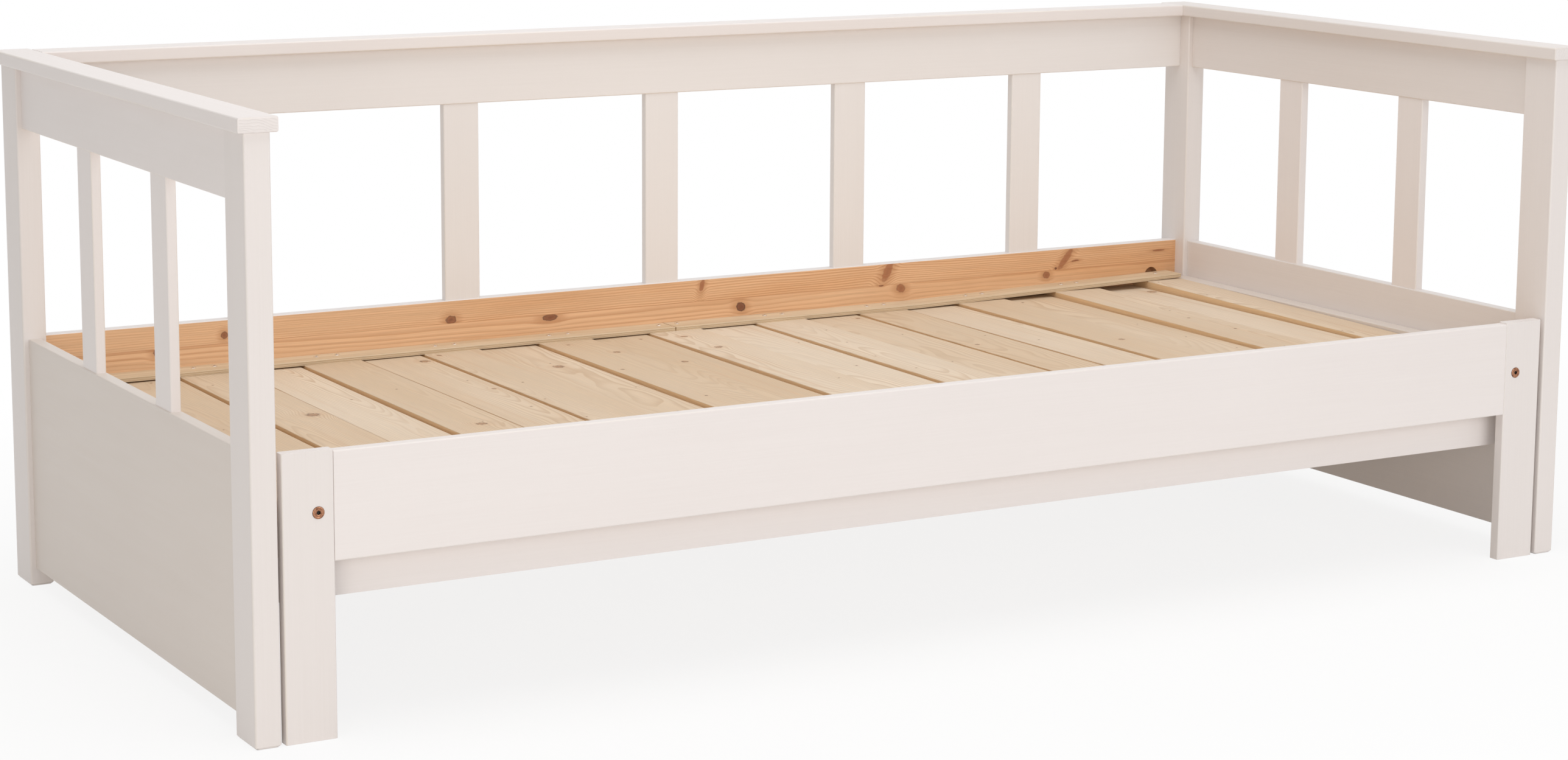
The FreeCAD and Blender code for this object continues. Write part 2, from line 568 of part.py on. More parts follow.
def bed_bolts():
    """At each end of the rear rail: a bolt into the post, a half-moon washer and a nut."""
    bolts, washers, nuts = [], [], []
    rail_centre = f"({REAR_FACE} + rear_rail_thickness / 2)"
    wall = f"({POST_INNER} - pocket_inset + pocket_diameter / 2)"
    hole = "bed_bolt_diameter / 2 + bolt_clearance"
    washer_height = "(2 * (pocket_depth - rear_rail_thickness / 2 - bolt_clearance))"
    for side, sign in SIDES.items():
        nut_end = f"({wall} - washer_depth - nut_length)"
        bolt_end = f"({nut_end} - bolt_overrun)"
        length = f"({POST_INNER} + bed_bolt_embed - {bolt_end})"

        def start(reach, span):
            """Left end of a stretch that reaches in from the post on this side."""
            return f"{sign} * ({reach} + {span} / 2) - {span} / 2"

        bolts.append(turned("Cylinder", f"bed_bolt_{side}", "x",
                            (start(bolt_end, length), rail_centre, BED_BOLT_HEIGHT),
                            Radius="bed_bolt_diameter / 2", Height=length))
        through = turned("Cylinder", f"bed_washer_hole_{side}", "x",
                         (start(bolt_end, length), rail_centre, BED_BOLT_HEIGHT), Radius=hole, Height=length)
        disc = turned("Cylinder", f"bed_washer_disc_{side}", "y",
                      (f"{sign} * ({POST_INNER} - pocket_inset)",
                       f"{rail_centre} - {washer_height} / 2", BED_BOLT_HEIGHT),
                      Radius="pocket_diameter / 2 - bolt_clearance", Height=washer_height)
        side_box = doc.addObject("Part::Box", f"bed_washer_side_{side}")
        place(side_box, "Placement", (start(f"({wall} - washer_depth)", "washer_depth"),
                                      f"{rail_centre} - {washer_height}",
                                      f"{BED_BOLT_HEIGHT} - pocket_diameter / 2"))
        bind(side_box, "Length", "washer_depth")
        bind(side_box, "Width", f"2 * {washer_height}")
        bind(side_box, "Height", "pocket_diameter")
        moon = combine("Common", f"bed_washer_moon_{side}", disc, side_box)
        washers.append(combine("Cut", f"bed_washer_{side}", moon, through))
        hexagon = turned("Prism", f"bed_nut_hexagon_{side}", "x",
                         (start(nut_end, "nut_length"), rail_centre, BED_BOLT_HEIGHT),
                         Circumradius="nut_width / 3 ^ 0.5", Height="nut_length")
        thread = turned("Cylinder", f"bed_nut_hole_{side}", "x",
                        (start(nut_end, "nut_length"), rail_centre, BED_BOLT_HEIGHT),
                        Radius=hole, Height="nut_length")
        nuts.append(combine("Cut", f"bed_nut_{side}", hexagon, thread))
    group("bed_bolts", bolts)
    group("bed_bolt_washers", washers)
    group("bed_bolt_nuts", nuts)


def leg_bolts():
    """One socket-head bolt through each leg into its cleat."""
    bolts = []
    for side, sign in SIDES.items():
        x = f"{sign} * ({LEG_INNER} + leg_bolt_inset)"
        seat = f"({LEG_FRONT} + leg_bolt_recess)"
        head_front = f"({seat} - leg_bolt_head_height)"
        head = turned("Cylinder", f"leg_bolt_head_{side}", "y", (x, head_front, LEG_BOLT_HEIGHT),
                      Radius="leg_bolt_head / 2", Height="leg_bolt_head_height")
        shank = turned("Cylinder", f"leg_bolt_shank_{side}", "y", (x, seat, LEG_BOLT_HEIGHT),
                       Radius="leg_bolt_diameter / 2", Height=f"{LEG_BACK} + leg_bolt_embed - {seat}")
        socket = turned("Prism", f"leg_bolt_socket_{side}", "y", (x, head_front, LEG_BOLT_HEIGHT),
                        Circumradius="leg_bolt_socket / 3 ^ 0.5", Height="socket_depth")
        whole = combine("Fuse", f"leg_bolt_whole_{side}", head, shank)
        bolts.append(combine("Cut", f"leg_bolt_{side}", whole, socket))
    group("leg_bolts", bolts)


def check_document():
    """Stops on a failed feature, a cut that removed nothing, or a shape that isn't sound."""
    doc.recompute()
    for item in doc.Objects:
        if "Invalid" in item.State or "Error" in item.State:
            raise RuntimeError(f"{item.Name} failed: {item.State}")
    for name, before, after in cuts:
        if after >= before:
            raise RuntimeError(f"{name} cut nothing")
    for piece in pieces:
        if piece.Shape.isNull() or not piece.Shape.isValid():
            raise RuntimeError(f"{piece.Label} isn't a sound solid")


def write_parts():
    os.makedirs("parts", exist_ok=True)
    for piece in pieces:
        piece.Shape.exportStep(os.path.join("parts", f"{piece.Label}.step"))


posts()
caps()
end_panels()
balusters()
rear_boards()
slat_supports()
fixed_slats()
retaining_strips()
pullout_front()
moving_slats()
bed_bolts()
leg_bolts()
check_document()
write_parts()
print(f"{len(pieces)} pieces written")
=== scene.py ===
"""A pull-out daybed: white lacquered boards, two interlaced combs of spruce slats, a knotty pine rail."""
import math
import random

import bmesh
import bpy
from mathutils import Matrix, Vector


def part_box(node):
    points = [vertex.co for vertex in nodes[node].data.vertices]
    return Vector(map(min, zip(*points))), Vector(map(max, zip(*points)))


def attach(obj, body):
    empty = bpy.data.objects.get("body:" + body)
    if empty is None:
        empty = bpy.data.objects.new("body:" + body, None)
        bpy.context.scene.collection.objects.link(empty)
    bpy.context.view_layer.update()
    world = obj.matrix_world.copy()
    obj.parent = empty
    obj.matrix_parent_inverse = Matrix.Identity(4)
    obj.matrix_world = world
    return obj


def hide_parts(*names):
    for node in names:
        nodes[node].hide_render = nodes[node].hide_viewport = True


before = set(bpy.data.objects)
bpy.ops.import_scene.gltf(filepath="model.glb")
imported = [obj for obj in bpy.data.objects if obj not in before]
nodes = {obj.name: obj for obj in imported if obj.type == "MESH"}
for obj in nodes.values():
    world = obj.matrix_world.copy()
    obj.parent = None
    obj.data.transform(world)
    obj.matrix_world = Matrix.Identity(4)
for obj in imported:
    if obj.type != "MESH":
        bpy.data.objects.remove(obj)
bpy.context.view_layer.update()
MM = 0.001
AXES = "xyz"
SIDES = ("left", "right")

# Sizes of the finish work, in millimetres
POST_EDGE = 2.5
FOOT_BEVEL = 3.0
CAP_EDGE = 2.5
CAP_END_EDGE = 2.25
PANEL_EDGE = 1.6
BALUSTER_EDGE = 2.0
FRONT_EDGE = 2.0
STRIP_EDGE = 0.5
JOINT_EDGE = 0.6
SLAT_EDGE = 1.0
SLAT_BOW = 1.6
NARROW_SLAT = 80.0
STRIP_RISE = 12.0
STRIP_RISE_FROM = 450.0
STRIP_BUTT = 0.9
SCREW_HEAD = 4.2
SCREW_SPACING = 32.5
SCREW_FROM_RAIL = 17.5
BOLT_HEAD = 7.5
BOLT_SHANK = 3.5
BOLT_SEAT = 7.9
BOLT_SEAT_DEPTH = 1.4
SOCKET = 5.0
POCKET = 13.0
POCKET_DEPTH = 17.0
POCKET_INSET = 51.0
POCKET_DROP = 58.0

# Widths of the year rings in each wood, in millimetres
LACQUERED_RING = 3.0
SPRUCE_RING = 3.1
PINE_RING = 3.4
BARE_RING = 4.0

# How far apart boards lie in the log, in metres each way
GRAIN_REACH = 20.0

# Relief of each finish, in millimetres
LACQUER_RELIEF = 0.14
END_RELIEF = 0.30
WOOD_RELIEF = 0.22
BARE_RELIEF = 0.20
PLYWOOD_RELIEF = 0.18
METAL_RELIEF = 0.04

# Knots in the slats: cells of their net in a metre, then millimetres: their least radius and its growth,
# the half width they keep to, and the radii up to which they are black and from which they are brown
KNOT_NET = 9.0
KNOT_SMALLEST = 1.4
KNOT_GROWTH = 8.5
KNOT_LIMIT = 44.5
PIN_KNOT = 1.8
SOUND_KNOT = 3.8

# The slats' places in the log, in metres for each unit of the draw, and how far from the middle of the
# thickness the painted light on the slats' sides fades out and where it is full, in millimetres
SLAT_CUTS = (9.0, 23.0, 5.0)
SIDE_LIGHT_FADES = 8.6
SIDE_LIGHT_FULL = 7.6

# The rear rail's wood, in millimetres: its glue line, how high the piths of its lower and upper board lie
# and how deep, how far apart in the log both were cut; then the knot radii beyond which no knot shows
RAIL_JOINT = 325.5
RAIL_PITHS = (330.0, 225.0)
RAIL_PITH_DEPTH = 405.0
BOARD_STEP = 3700.0
NO_KNOT = 9.0

# Plywood, in millimetres: one ply, and how far in from a face the veneer ends and the sawn edge begins
PLY = 1.3
FACE_ENDS = 0.12
EDGE_STARTS = 0.35

# How finely curved and bent things are divided, and what counts as flat or touching
EDGE_STEPS = 4
END_STEPS = 2
SLAT_EDGE_STEPS = 3
SLAT_STATIONS = 17
STRIP_STATIONS = 24
SCREW_SIDES = 16
ROUND_SIDES = 48
FLOOR_SIDES = 96
SHARP_ANGLE = math.radians(40)
FLAT = 0.99
TOUCHING = 1e-6

# Each comb: the body it rides on, its seed, and its slats' turn in degrees and rise in millimetres
COMBS = {"fixed": ("frame", 7, 0.4, STRIP_RISE), "moving": ("pullout", 23, 0.5, 0.0)}
# The share of its turn that a slat also lies askew, and of its width to where the strip bears on it
SKEW_SHARE = 0.16
LIFTED_SHARE = 0.4

# How the screws were driven: tilt and spin in radians
SCREW_SEED = 3
SCREW_TILT = 0.02
SCREW_SPIN = 6.28

# Colours, as linear red, green and blue
LACQUER_LIGHT = (0.862, 0.808, 0.785, 1)
LACQUER_DEEP = (0.838, 0.780, 0.755, 1)
LACQUER_RUBBED = (0.820, 0.745, 0.660, 1)
# A lighter copy of the white lacquer for the rear panel and rear balusters: painted light
PAINTED_LIGHT_BACK_PALE = (0.868, 0.832, 0.814, 1)
PAINTED_LIGHT_BACK_DEEP = (0.844, 0.806, 0.786, 1)
# A darker copy of the white lacquer for the posts and legs: painted shade
PAINTED_SHADE_POST_PALE = (0.830, 0.778, 0.752, 1)
PAINTED_SHADE_POST_DEEP = (0.806, 0.750, 0.722, 1)
# A darker, warmer copy of the white lacquer for the left end's lower panel and the side rails: painted shade
PAINTED_SHADE_PANEL_PALE = (0.765, 0.695, 0.638, 1)
PAINTED_SHADE_PANEL_DEEP = (0.733, 0.660, 0.602, 1)
# A darker copy of the white lacquer for the right end's cap and panels: painted shade
PAINTED_SHADE_RIGHT_PALE = (0.815, 0.760, 0.730, 1)
PAINTED_SHADE_RIGHT_DEEP = (0.785, 0.726, 0.694, 1)
SPRUCE_PALE = (0.810, 0.668, 0.515, 1)
SPRUCE_WARM = (0.690, 0.515, 0.345, 1)
SPRUCE_LATE = (0.500, 0.320, 0.175, 1)
SPRUCE_ROSE = (0.660, 0.440, 0.270, 1)
# The brighter, more golden colour of the slats' sides: painted light
SPRUCE_PAINTED_SIDE_LIGHT = (0.880, 0.600, 0.320, 1)
SPRUCE_KNOT = (0.360, 0.190, 0.095, 1)
SPRUCE_KNOT_RIM = (0.110, 0.050, 0.026, 1)
PINE_EARLY = (0.850, 0.540, 0.315, 1)
PINE_WARM = (0.720, 0.385, 0.180, 1)
PINE_LATE = (0.500, 0.215, 0.085, 1)
PINE_KNOT = (0.165, 0.046, 0.017, 1)
PINE_KNOT_PALE = (0.430, 0.170, 0.072, 1)
PINE_KNOT_RIM = (0.070, 0.022, 0.010, 1)
BARE_EARLY = (0.800, 0.570, 0.340, 1)
BARE_LATE = (0.600, 0.350, 0.160, 1)
BIRCH_PALE = (0.790, 0.640, 0.455, 1)
BIRCH_WARM = (0.690, 0.520, 0.335, 1)
GLUE_LINE = (0.230, 0.130, 0.065, 1)
PLY_CROSS = (0.600, 0.410, 0.220, 1)
BRONZE = (0.420, 0.205, 0.120, 1)
BRONZE_TARNISH = (0.200, 0.085, 0.050, 1)
# The near-black colour of slots and sockets in the metal fittings: painted shade
PAINTED_RECESS_SHADE = (0.030, 0.025, 0.022, 1)
ZINC = (0.930, 0.930, 0.920, 1)
ZINC_DULL = (0.640, 0.630, 0.610, 1)
WHITE = (1, 1, 1, 1)
FLOOR_DEEP = (0.90, 0.895, 0.885, 1)
FLOOR_LIGHT = (0.93, 0.925, 0.92, 1)
FILL = (1.0, 0.985, 0.97, 1)

# The studio, in metres: the floor takes the shadow near the bed and is plain white farther off
FLOOR_RADIUS = 14.0
FLOOR_OVAL = (0.62, 1.0, 0.0)
SHADOW_NEAR = 0.55
SHADOW_FAR = 1.9
WHITE_NEAR = 0.84
FILL_STRENGTH = 0.50

# Each lamp: its place and what it aims at, the side of its square in metres, watts and colour
LAMPS = {
    "overhead_lamp": ((-0.1, -0.6, 3.6), (0.0, 0.0, 0.3), 3.2, 58, (1.0, 1.0, 1.0)),
    "front_lamp": ((1.2, -4.9, 1.25), (0.0, 0.0, 0.35), 2.8, 46, (0.99, 0.985, 1.0)),
    "left_lamp": ((-3.6, -4.1, 0.9), (0.2, 0.0, 0.2), 1.7, 36, (1.0, 0.95, 0.88)),
}

# The camera: millimetres from the bed's middle, turns in radians, lengths on the picture in its pixels
PICTURE_WIDTH = 2576
FOCAL_PIXELS = 5379.1
SENSOR_WIDTH = 36.0
CAMERA_PLACE = (-2390.6, -4095.0, 1197.5)
CAMERA_YAW = -0.52273
CAMERA_PITCH = -0.16266
CAMERA_ROLL = 0.00605
CAMERA_SHIFT = -0.06


def in_use(sockets, name=None):
    """The first socket that a node's settings use, of that name where one is given."""
    return next(s for s in sockets if s.enabled and name in (None, s.name))


class Layout:
    """Short words for laying nodes into one tree."""

    def __init__(self, tree):
        self.tree = tree

    def feed(self, target, value):
        if isinstance(value, bpy.types.NodeSocket):
            self.tree.links.new(value, target)
        else:
            target.default_value = value

    def put(self, kind, inputs=None, **settings):
        made = self.tree.nodes.new(kind)
        for key, value in settings.items():
            setattr(made, key, value)
        for key, value in (inputs or {}).items():
            target = made.inputs[key] if isinstance(key, int) else in_use(made.inputs, key)
            self.feed(target, value)
        return made

    def result(self, kind, inputs=None, **settings):
        """The output of a new node that has one in use."""
        return in_use(self.put(kind, inputs, **settings).outputs)

    def number(self, operation, *values):
        return self.result("ShaderNodeMath", dict(enumerate(values)), operation=operation)

    def plus(self, first, second):
        return self.number("ADD", first, second)

    def minus(self, first, second):
        return self.number("SUBTRACT", first, second)

    def times(self, first, second):
        return self.number("MULTIPLY", first, second)

    def scaled(self, value, factor, offset):
        return self.number("MULTIPLY_ADD", value, factor, offset)

    def vector(self, operation, *values):
        return self.result("ShaderNodeVectorMath", dict(enumerate(values)), operation=operation)

    def split(self, vector):
        return self.put("ShaderNodeSeparateXYZ", {0: vector}).outputs

    def join(self, x=0.0, y=0.0, z=0.0):
        return self.result("ShaderNodeCombineXYZ", {0: x, 1: y, 2: z})

    def weighted(self, *shares):
        """The sum of values, each times its weight."""
        total, *others = [self.times(value, weight) for value, weight in shares]
        for part in others:
            total = self.plus(total, part)
        return total

    def centred(self, value, reach):
        """A value from 0 to 1 moved about zero, up to half of reach each way."""
        return self.times(self.minus(value, 0.5), reach)

    def smooth(self, value, start, end, low=0.0, high=1.0):
        """A soft step: low up to start, high from end on."""
        inputs = {"Value": value, "From Min": start, "From Max": end, "To Min": low, "To Max": high}
        return self.result("ShaderNodeMapRange", inputs, interpolation_type="SMOOTHSTEP")

    def noise(self, place, stretch, detail=2.0, roughness=0.5):
        """Noise from 0 to 1; stretch gives its waves in a metre along each axis."""
        inputs = {"Vector": self.vector("MULTIPLY", place, stretch), "Scale": 1.0, "Detail": detail}
        return self.result("ShaderNodeTexNoise", {**inputs, "Roughness": roughness})

    def swing(self, place, stretch, reach, detail=1.5):
        """Noise about zero, up to half of reach each way."""
        return self.centred(self.noise(place, stretch, detail), reach)

    def seen(self):
        """1 for what the camera sees, straight or in a mirror or glass, and 0 for lighting."""
        rays = self.put("ShaderNodeLightPath").outputs
        mirrored = self.number("MAXIMUM", rays["Is Camera Ray"], rays["Is Glossy Ray"])
        return self.number("MAXIMUM", mirrored, rays["Is Transmission Ray"])


class Look(Layout):
    """A material in the making."""

    def __init__(self, name):
        self.material = bpy.data.materials.new(name)
        self.material.use_nodes = True
        super().__init__(self.material.node_tree)
        self.tree.nodes.clear()

    def object_place(self):
        return self.put("ShaderNodeTexCoord").outputs["Object"]

    def attribute(self, name, output="Vector"):
        return self.put("ShaderNodeAttribute", attribute_name=name).outputs[output]

    def tint(self, factor, first, second):
        inputs = {"Factor": factor, "A": first, "B": second}
        return self.result("ShaderNodeMix", inputs, data_type="RGBA")

    def shaded(self, colour, shade):
        return self.vector("MULTIPLY", colour, self.join(shade, shade, shade))

    def surface(self, colour, roughness, height, relief, **constants):
        """Closes the material with one shader; the height map stands up to relief millimetres proud."""
        inputs = {"Base Color": colour, "Roughness": roughness}
        inputs.update({key.replace("_", " "): value for key, value in constants.items()})
        inputs["Normal"] = self.result("ShaderNodeBump", {"Distance": relief * MM, "Height": height})
        shader = self.result("ShaderNodeBsdfPrincipled", inputs)
        self.put("ShaderNodeOutputMaterial", {"Surface": shader})
        return self.material

    def late_wood(self, across, depth, ring):
        """Growth rings round the pith: 0 in pale early wood, up to 1 in the dark edge of each year."""
        radius = self.vector("LENGTH", self.join(across, depth))
        drift = self.noise(self.join(radius), (45.0, 0.0, 0.0), detail=1.0)
        year = self.number("DIVIDE", radius, ring * MM)
        year = self.plus(year, self.times(drift, 1.8))
        year = self.number("FRACT", year)
        return self.times(self.smooth(year, 0.35, 0.93), self.smooth(year, 1.0, 0.94))


def board_place(look, along):
    """Where a point lies in its board: across the grain, along it, and into the thickness."""
    shifted = look.vector("ADD", look.object_place(), look.attribute("board_shift"))
    x, y, z = look.split(shifted)
    order = {"x": (z, x, y), "y": (z, y, x), "z": (x, z, y)}[along]
    return look.join(*order)


def white_lacquer(name, along, light=LACQUER_LIGHT, deep=LACQUER_DEEP):
    """Satin white lacquer over pine: the grain telegraphs faintly along the board."""
    look = Look(name)
    place = board_place(look, along)
    fibre = look.noise(place, (430, 6.5, 430), detail=3)
    figure = look.noise(place, (38, 1.1, 38), detail=2)
    cloud = look.noise(place, (6, 2.5, 6), detail=2)
    peel = look.noise(place, (520, 520, 520), detail=1)
    tone = look.weighted((fibre, 0.40), (figure, 0.20), (cloud, 0.40))
    colour = look.tint(look.smooth(tone, 0.25, 0.75), deep, light)
    rubbed = look.times(look.attribute("edge", "Fac"), look.smooth(figure, 0.48, 0.75))
    colour = look.tint(look.times(rubbed, 0.55), colour, LACQUER_RUBBED)
    roughness = look.smooth(fibre, 0.25, 0.75, 0.34, 0.50)
    height = look.weighted((fibre, 0.55), (peel, 0.30))
    return look.surface(colour, roughness, height, LACQUER_RELIEF)


def lacquered_end(along):
    """The same lacquer over sawn end grain, where the year rings show through as ridges."""
    look = Look(f"lacquered_end_grain_{along}")
    across, _, depth = look.split(board_place(look, along))
    spread = look.join(across, depth)
    bent = look.plus(across, look.swing(spread, (40, 40, 40), 0.012))
    rings = look.late_wood(bent, look.plus(depth, 0.05), LACQUERED_RING)
    pores = look.noise(spread, (1300, 1300, 1300), detail=2)
    colour = look.tint(look.times(rings, 0.55), LACQUER_LIGHT, LACQUER_DEEP)
    colour = look.tint(look.smooth(pores, 0.60, 0.80, 0.0, 0.35), colour, LACQUER_RUBBED)
    height = look.weighted((rings, 1.0), (pores, 0.5))
    return look.surface(colour, look.smooth(pores, 0.3, 0.7, 0.42, 0.58), height, END_RELIEF)


def spruce_slats():
    """Planed spruce, cut at a different place in the log for each slat, with pin knots."""
    look = Look("spruce_slats")
    place = look.attribute("slat_place")
    cut = look.attribute("slat_cut")
    tone = look.attribute("slat_tone", "Fac")
    cut_x, cut_y, cut_z = look.split(cut)
    far = look.vector("MULTIPLY_ADD", cut, SLAT_CUTS, place)
    across, along, depth = look.split(place)

    # Knots: one chance in each cell of a loose net, most of them small, none cut by a slat's long edge
    net = {"Vector": far, "Scale": KNOT_NET}
    cells = look.put("ShaderNodeTexVoronoi", net, voronoi_dimensions="2D").outputs
    gap = look.number("DIVIDE", cells["Distance"], KNOT_NET)
    rank, size, _ = look.put("ShaderNodeSeparateColor", {0: cells["Color"]}).outputs
    growth = look.number("POWER", size, 4.0)
    radius = look.scaled(growth, KNOT_GROWTH * MM, KNOT_SMALLEST * MM)
    centre = look.scaled(cut_x, -SLAT_CUTS[0], look.split(cells["Position"])[0])
    outer = look.scaled(radius, 1.6, look.number("ABSOLUTE", centre))
    inside = look.number("LESS_THAN", outer, KNOT_LIMIT * MM)
    present = look.times(look.number("GREATER_THAN", rank, 0.30), inside)
    ragged = look.swing(far, (380, 380, 380), 0.8, detail=3)
    reach = look.plus(look.number("DIVIDE", gap, radius), ragged)
    knot = look.times(look.smooth(reach, 1.25, 0.60), present)
    rim = look.times(look.smooth(reach, 0.50, 0.95), look.smooth(reach, 1.30, 0.98))
    broken = look.smooth(look.noise(far, (260, 260, 260)), 0.38, 0.60)
    rim = look.times(look.times(rim, broken), present)
    halo = look.times(look.smooth(reach, 3.8, 0.8), present)
    lens = look.times(look.smooth(reach, 5.5, 0.0, 0.0, 0.75), present)
    off_knot = look.split(look.vector("SUBTRACT", far, cells["Position"]))[0]
    bent = look.minus(across, look.times(off_knot, lens))

    # Growth rings about a pith that lies under the slat and leans along it
    pith_x = look.centred(cut_x, 0.11)
    pith_z = look.scaled(look.number("POWER", cut_y, 2.0), 0.10, 0.010)
    lean = look.centred(cut_z, 0.07)
    from_pith = look.minus(bent, pith_x)
    from_pith = look.plus(from_pith, look.swing(far, (6, 1.5, 6), 0.030))
    under = look.plus(depth, look.scaled(lean, along, pith_z))
    under = look.plus(under, look.swing(far, (7, 2.4, 7), 0.044, detail=2.5))
    late = look.late_wood(from_pith, under, SPRUCE_RING)

    fibre = look.noise(far, (950, 14, 950), detail=4, roughness=0.6)
    streak = look.noise(far, (90, 1.6, 90), detail=3)
    blotch = look.noise(far, (11, 3.0, 11), detail=2)
    warmth = look.plus(tone, look.swing(far, (9, 2, 9), 1.0))
    colour = look.tint(look.smooth(warmth, -0.1, 1.1), SPRUCE_PALE, SPRUCE_WARM)
    colour = look.tint(look.smooth(streak, 0.52, 0.80, 0.0, 0.55), colour, SPRUCE_ROSE)
    strength = look.times(look.smooth(blotch, 0.30, 0.72, 0.12, 0.50), late)
    colour = look.tint(strength, colour, SPRUCE_LATE)
    shade = look.scaled(fibre, 0.44, look.scaled(blotch, 0.16, 0.70))
    colour = look.shaded(colour, shade)
    colour = look.tint(look.times(halo, 0.40), colour, SPRUCE_ROSE)
    flesh = look.tint(look.smooth(radius, SOUND_KNOT * MM, PIN_KNOT * MM), SPRUCE_KNOT, SPRUCE_KNOT_RIM)
    colour = look.tint(look.times(knot, 0.80), colour, flesh)
    colour = look.tint(look.times(rim, 0.75), colour, SPRUCE_KNOT_RIM)
    # Painted light: the mask named sawn covers the slats' sides, which are coloured brighter and more golden
    # than their wood
    sawn = look.smooth(look.number("ABSOLUTE", depth), SIDE_LIGHT_FADES * MM, SIDE_LIGHT_FULL * MM)
    colour = look.tint(look.times(sawn, 0.75), colour, SPRUCE_PAINTED_SIDE_LIGHT)
    height = look.weighted((late, 0.6), (fibre, 0.5), (knot, 0.6))
    return look.surface(colour, look.smooth(fibre, 0.3, 0.7, 0.52, 0.70), height, WOOD_RELIEF)


# Knots of the rear rail's inner face: along the rail, above the floor, half length, half height, lean in
# degrees, and how ripe the knot is, from pale and sound to black
RAIL_KNOTS = (
    (-833, 321, 7, 6, 0, 0.4), (-731, 338, 5, 5, 0, 0.5), (-724, 326, 8, 1.6, 0, 0.7),
    (-366, 331, 8, 6, 0, 0.5), (-198, 321, 12, 4.5, 0, 0.6), (71, 351, 4, 9.5, -14, 0.1),
    (71, 326, 2, 2, 0, 0.9), (142, 311, 8, 6.5, -20, 0.8), (419, 348, 7, 17, -28, 0.1),
    (401, 332, 2.2, 2, 0, 0.9), (407, 325, 4, 1.2, 0, 0.8), (445, 318, 8, 6.5, -15, 0.25),
    (736, 318, 6.5, 5.5, 0, 0.3), (755, 328, 2.2, 1.8, 0, 0.9), (775, 343, 5.5, 21, -40, 0.1),
    (795, 339, 7, 1.5, 0, 0.4), (970, 344, 11, 1.4, 0, 0.3), (-560, 258, 9, 8, 0, 0.4),
    (-90, 240, 7, 6, 0, 0.3), (300, 262, 10, 8, 10, 0.5), (610, 246, 8, 7, 0, 0.3),
)


def knotty_pine():
    """Bare pine of the rear rail: two boards glued edge to edge, with knots where the rail has them."""
    look = Look("knotty_pine")
    place = look.object_place()
    x, y, z = look.split(place)
    upper = look.number("GREATER_THAN", z, RAIL_JOINT * MM)
    level = z
    near = NO_KNOT
    ripe = 0.0
    for along, height, half_length, half_height, lean, ripeness in RAIL_KNOTS:
        rise = look.minus(level, height * MM)
        off = look.join(look.minus(x, along * MM), 0.0, rise)
        lying = {"Vector": off, "Angle": math.radians(lean)}
        turned = look.result("ShaderNodeVectorRotate", lying, rotation_type="Y_AXIS")
        scale = (1 / (half_length * MM), 0.0, 1 / (half_height * MM))
        reach = look.vector("LENGTH", look.vector("MULTIPLY", turned, scale))
        # A knot ends at the glue line, because the other board is other wood
        other_board = upper if height < RAIL_JOINT else look.minus(1.0, upper)
        reach = look.scaled(other_board, NO_KNOT, reach)
        nearest = look.number("LESS_THAN", reach, near)
        ripe = look.scaled(nearest, look.minus(ripeness, ripe), ripe)
        near = look.number("MINIMUM", near, reach)
        lens = look.smooth(reach, 4.2, 0.0, 0.0, 0.72)
        level = look.minus(level, look.times(rise, lens))
    near = look.plus(near, look.swing(place, (190, 0, 230), 0.65, detail=3))
    knot = look.smooth(near, 1.20, 0.78)
    rim = look.times(look.smooth(near, 0.72, 0.98), look.smooth(near, 1.22, 1.00))
    halo = look.smooth(near, 3.2, 0.9)

    board = look.times(upper, BOARD_STEP * MM)
    cut = look.vector("ADD", place, look.join(board))
    sway = look.swing(cut, (1.5, 8, 9), 0.034, detail=3)
    pith = look.smooth(upper, 0, 1, *(height * MM for height in RAIL_PITHS))
    across = look.minus(look.plus(level, sway), pith)
    depth = look.plus(y, -RAIL_PITH_DEPTH * MM)
    late = look.late_wood(across, depth, PINE_RING)
    fibre = look.noise(place, (11, 800, 800), detail=4, roughness=0.6)
    streak = look.noise(cut, (1.1, 60, 65), detail=3)
    blotch = look.noise(cut, (2.0, 8, 11), detail=3)
    warmth = look.scaled(x, 0.30, look.scaled(blotch, 2.2, -0.72))
    colour = look.tint(look.smooth(warmth, 0.0, 1.0), PINE_EARLY, PINE_WARM)
    drawn = look.times(late, look.smooth(streak, 0.32, 0.70, 0.10, 0.62))
    colour = look.tint(drawn, colour, PINE_LATE)
    shade = look.scaled(fibre, 0.40, look.scaled(streak, 0.24, 0.68))
    colour = look.shaded(colour, shade)
    from_joint = look.number("ABSOLUTE", look.minus(z, RAIL_JOINT * MM))
    colour = look.tint(look.smooth(from_joint, 0.0009, 0.0002, 0.0, 0.45), colour, PINE_LATE)
    colour = look.tint(look.times(halo, 0.50), colour, PINE_LATE)
    mottle = look.swing(place, (150, 0, 150), 0.5, detail=2)
    heart = look.plus(look.smooth(near, 0.80, 0.10, 0.0, 0.20), mottle)
    flesh = look.tint(look.smooth(look.plus(ripe, heart), 0.0, 1.1), PINE_KNOT_PALE, PINE_KNOT)
    colour = look.tint(look.times(knot, 0.92), colour, flesh)
    colour = look.tint(look.times(rim, ripe), colour, PINE_KNOT_RIM)
    height = look.weighted((late, 0.7), (fibre, 0.4))
    return look.surface(colour, look.smooth(fibre, 0.3, 0.7, 0.46, 0.62), height, WOOD_RELIEF)


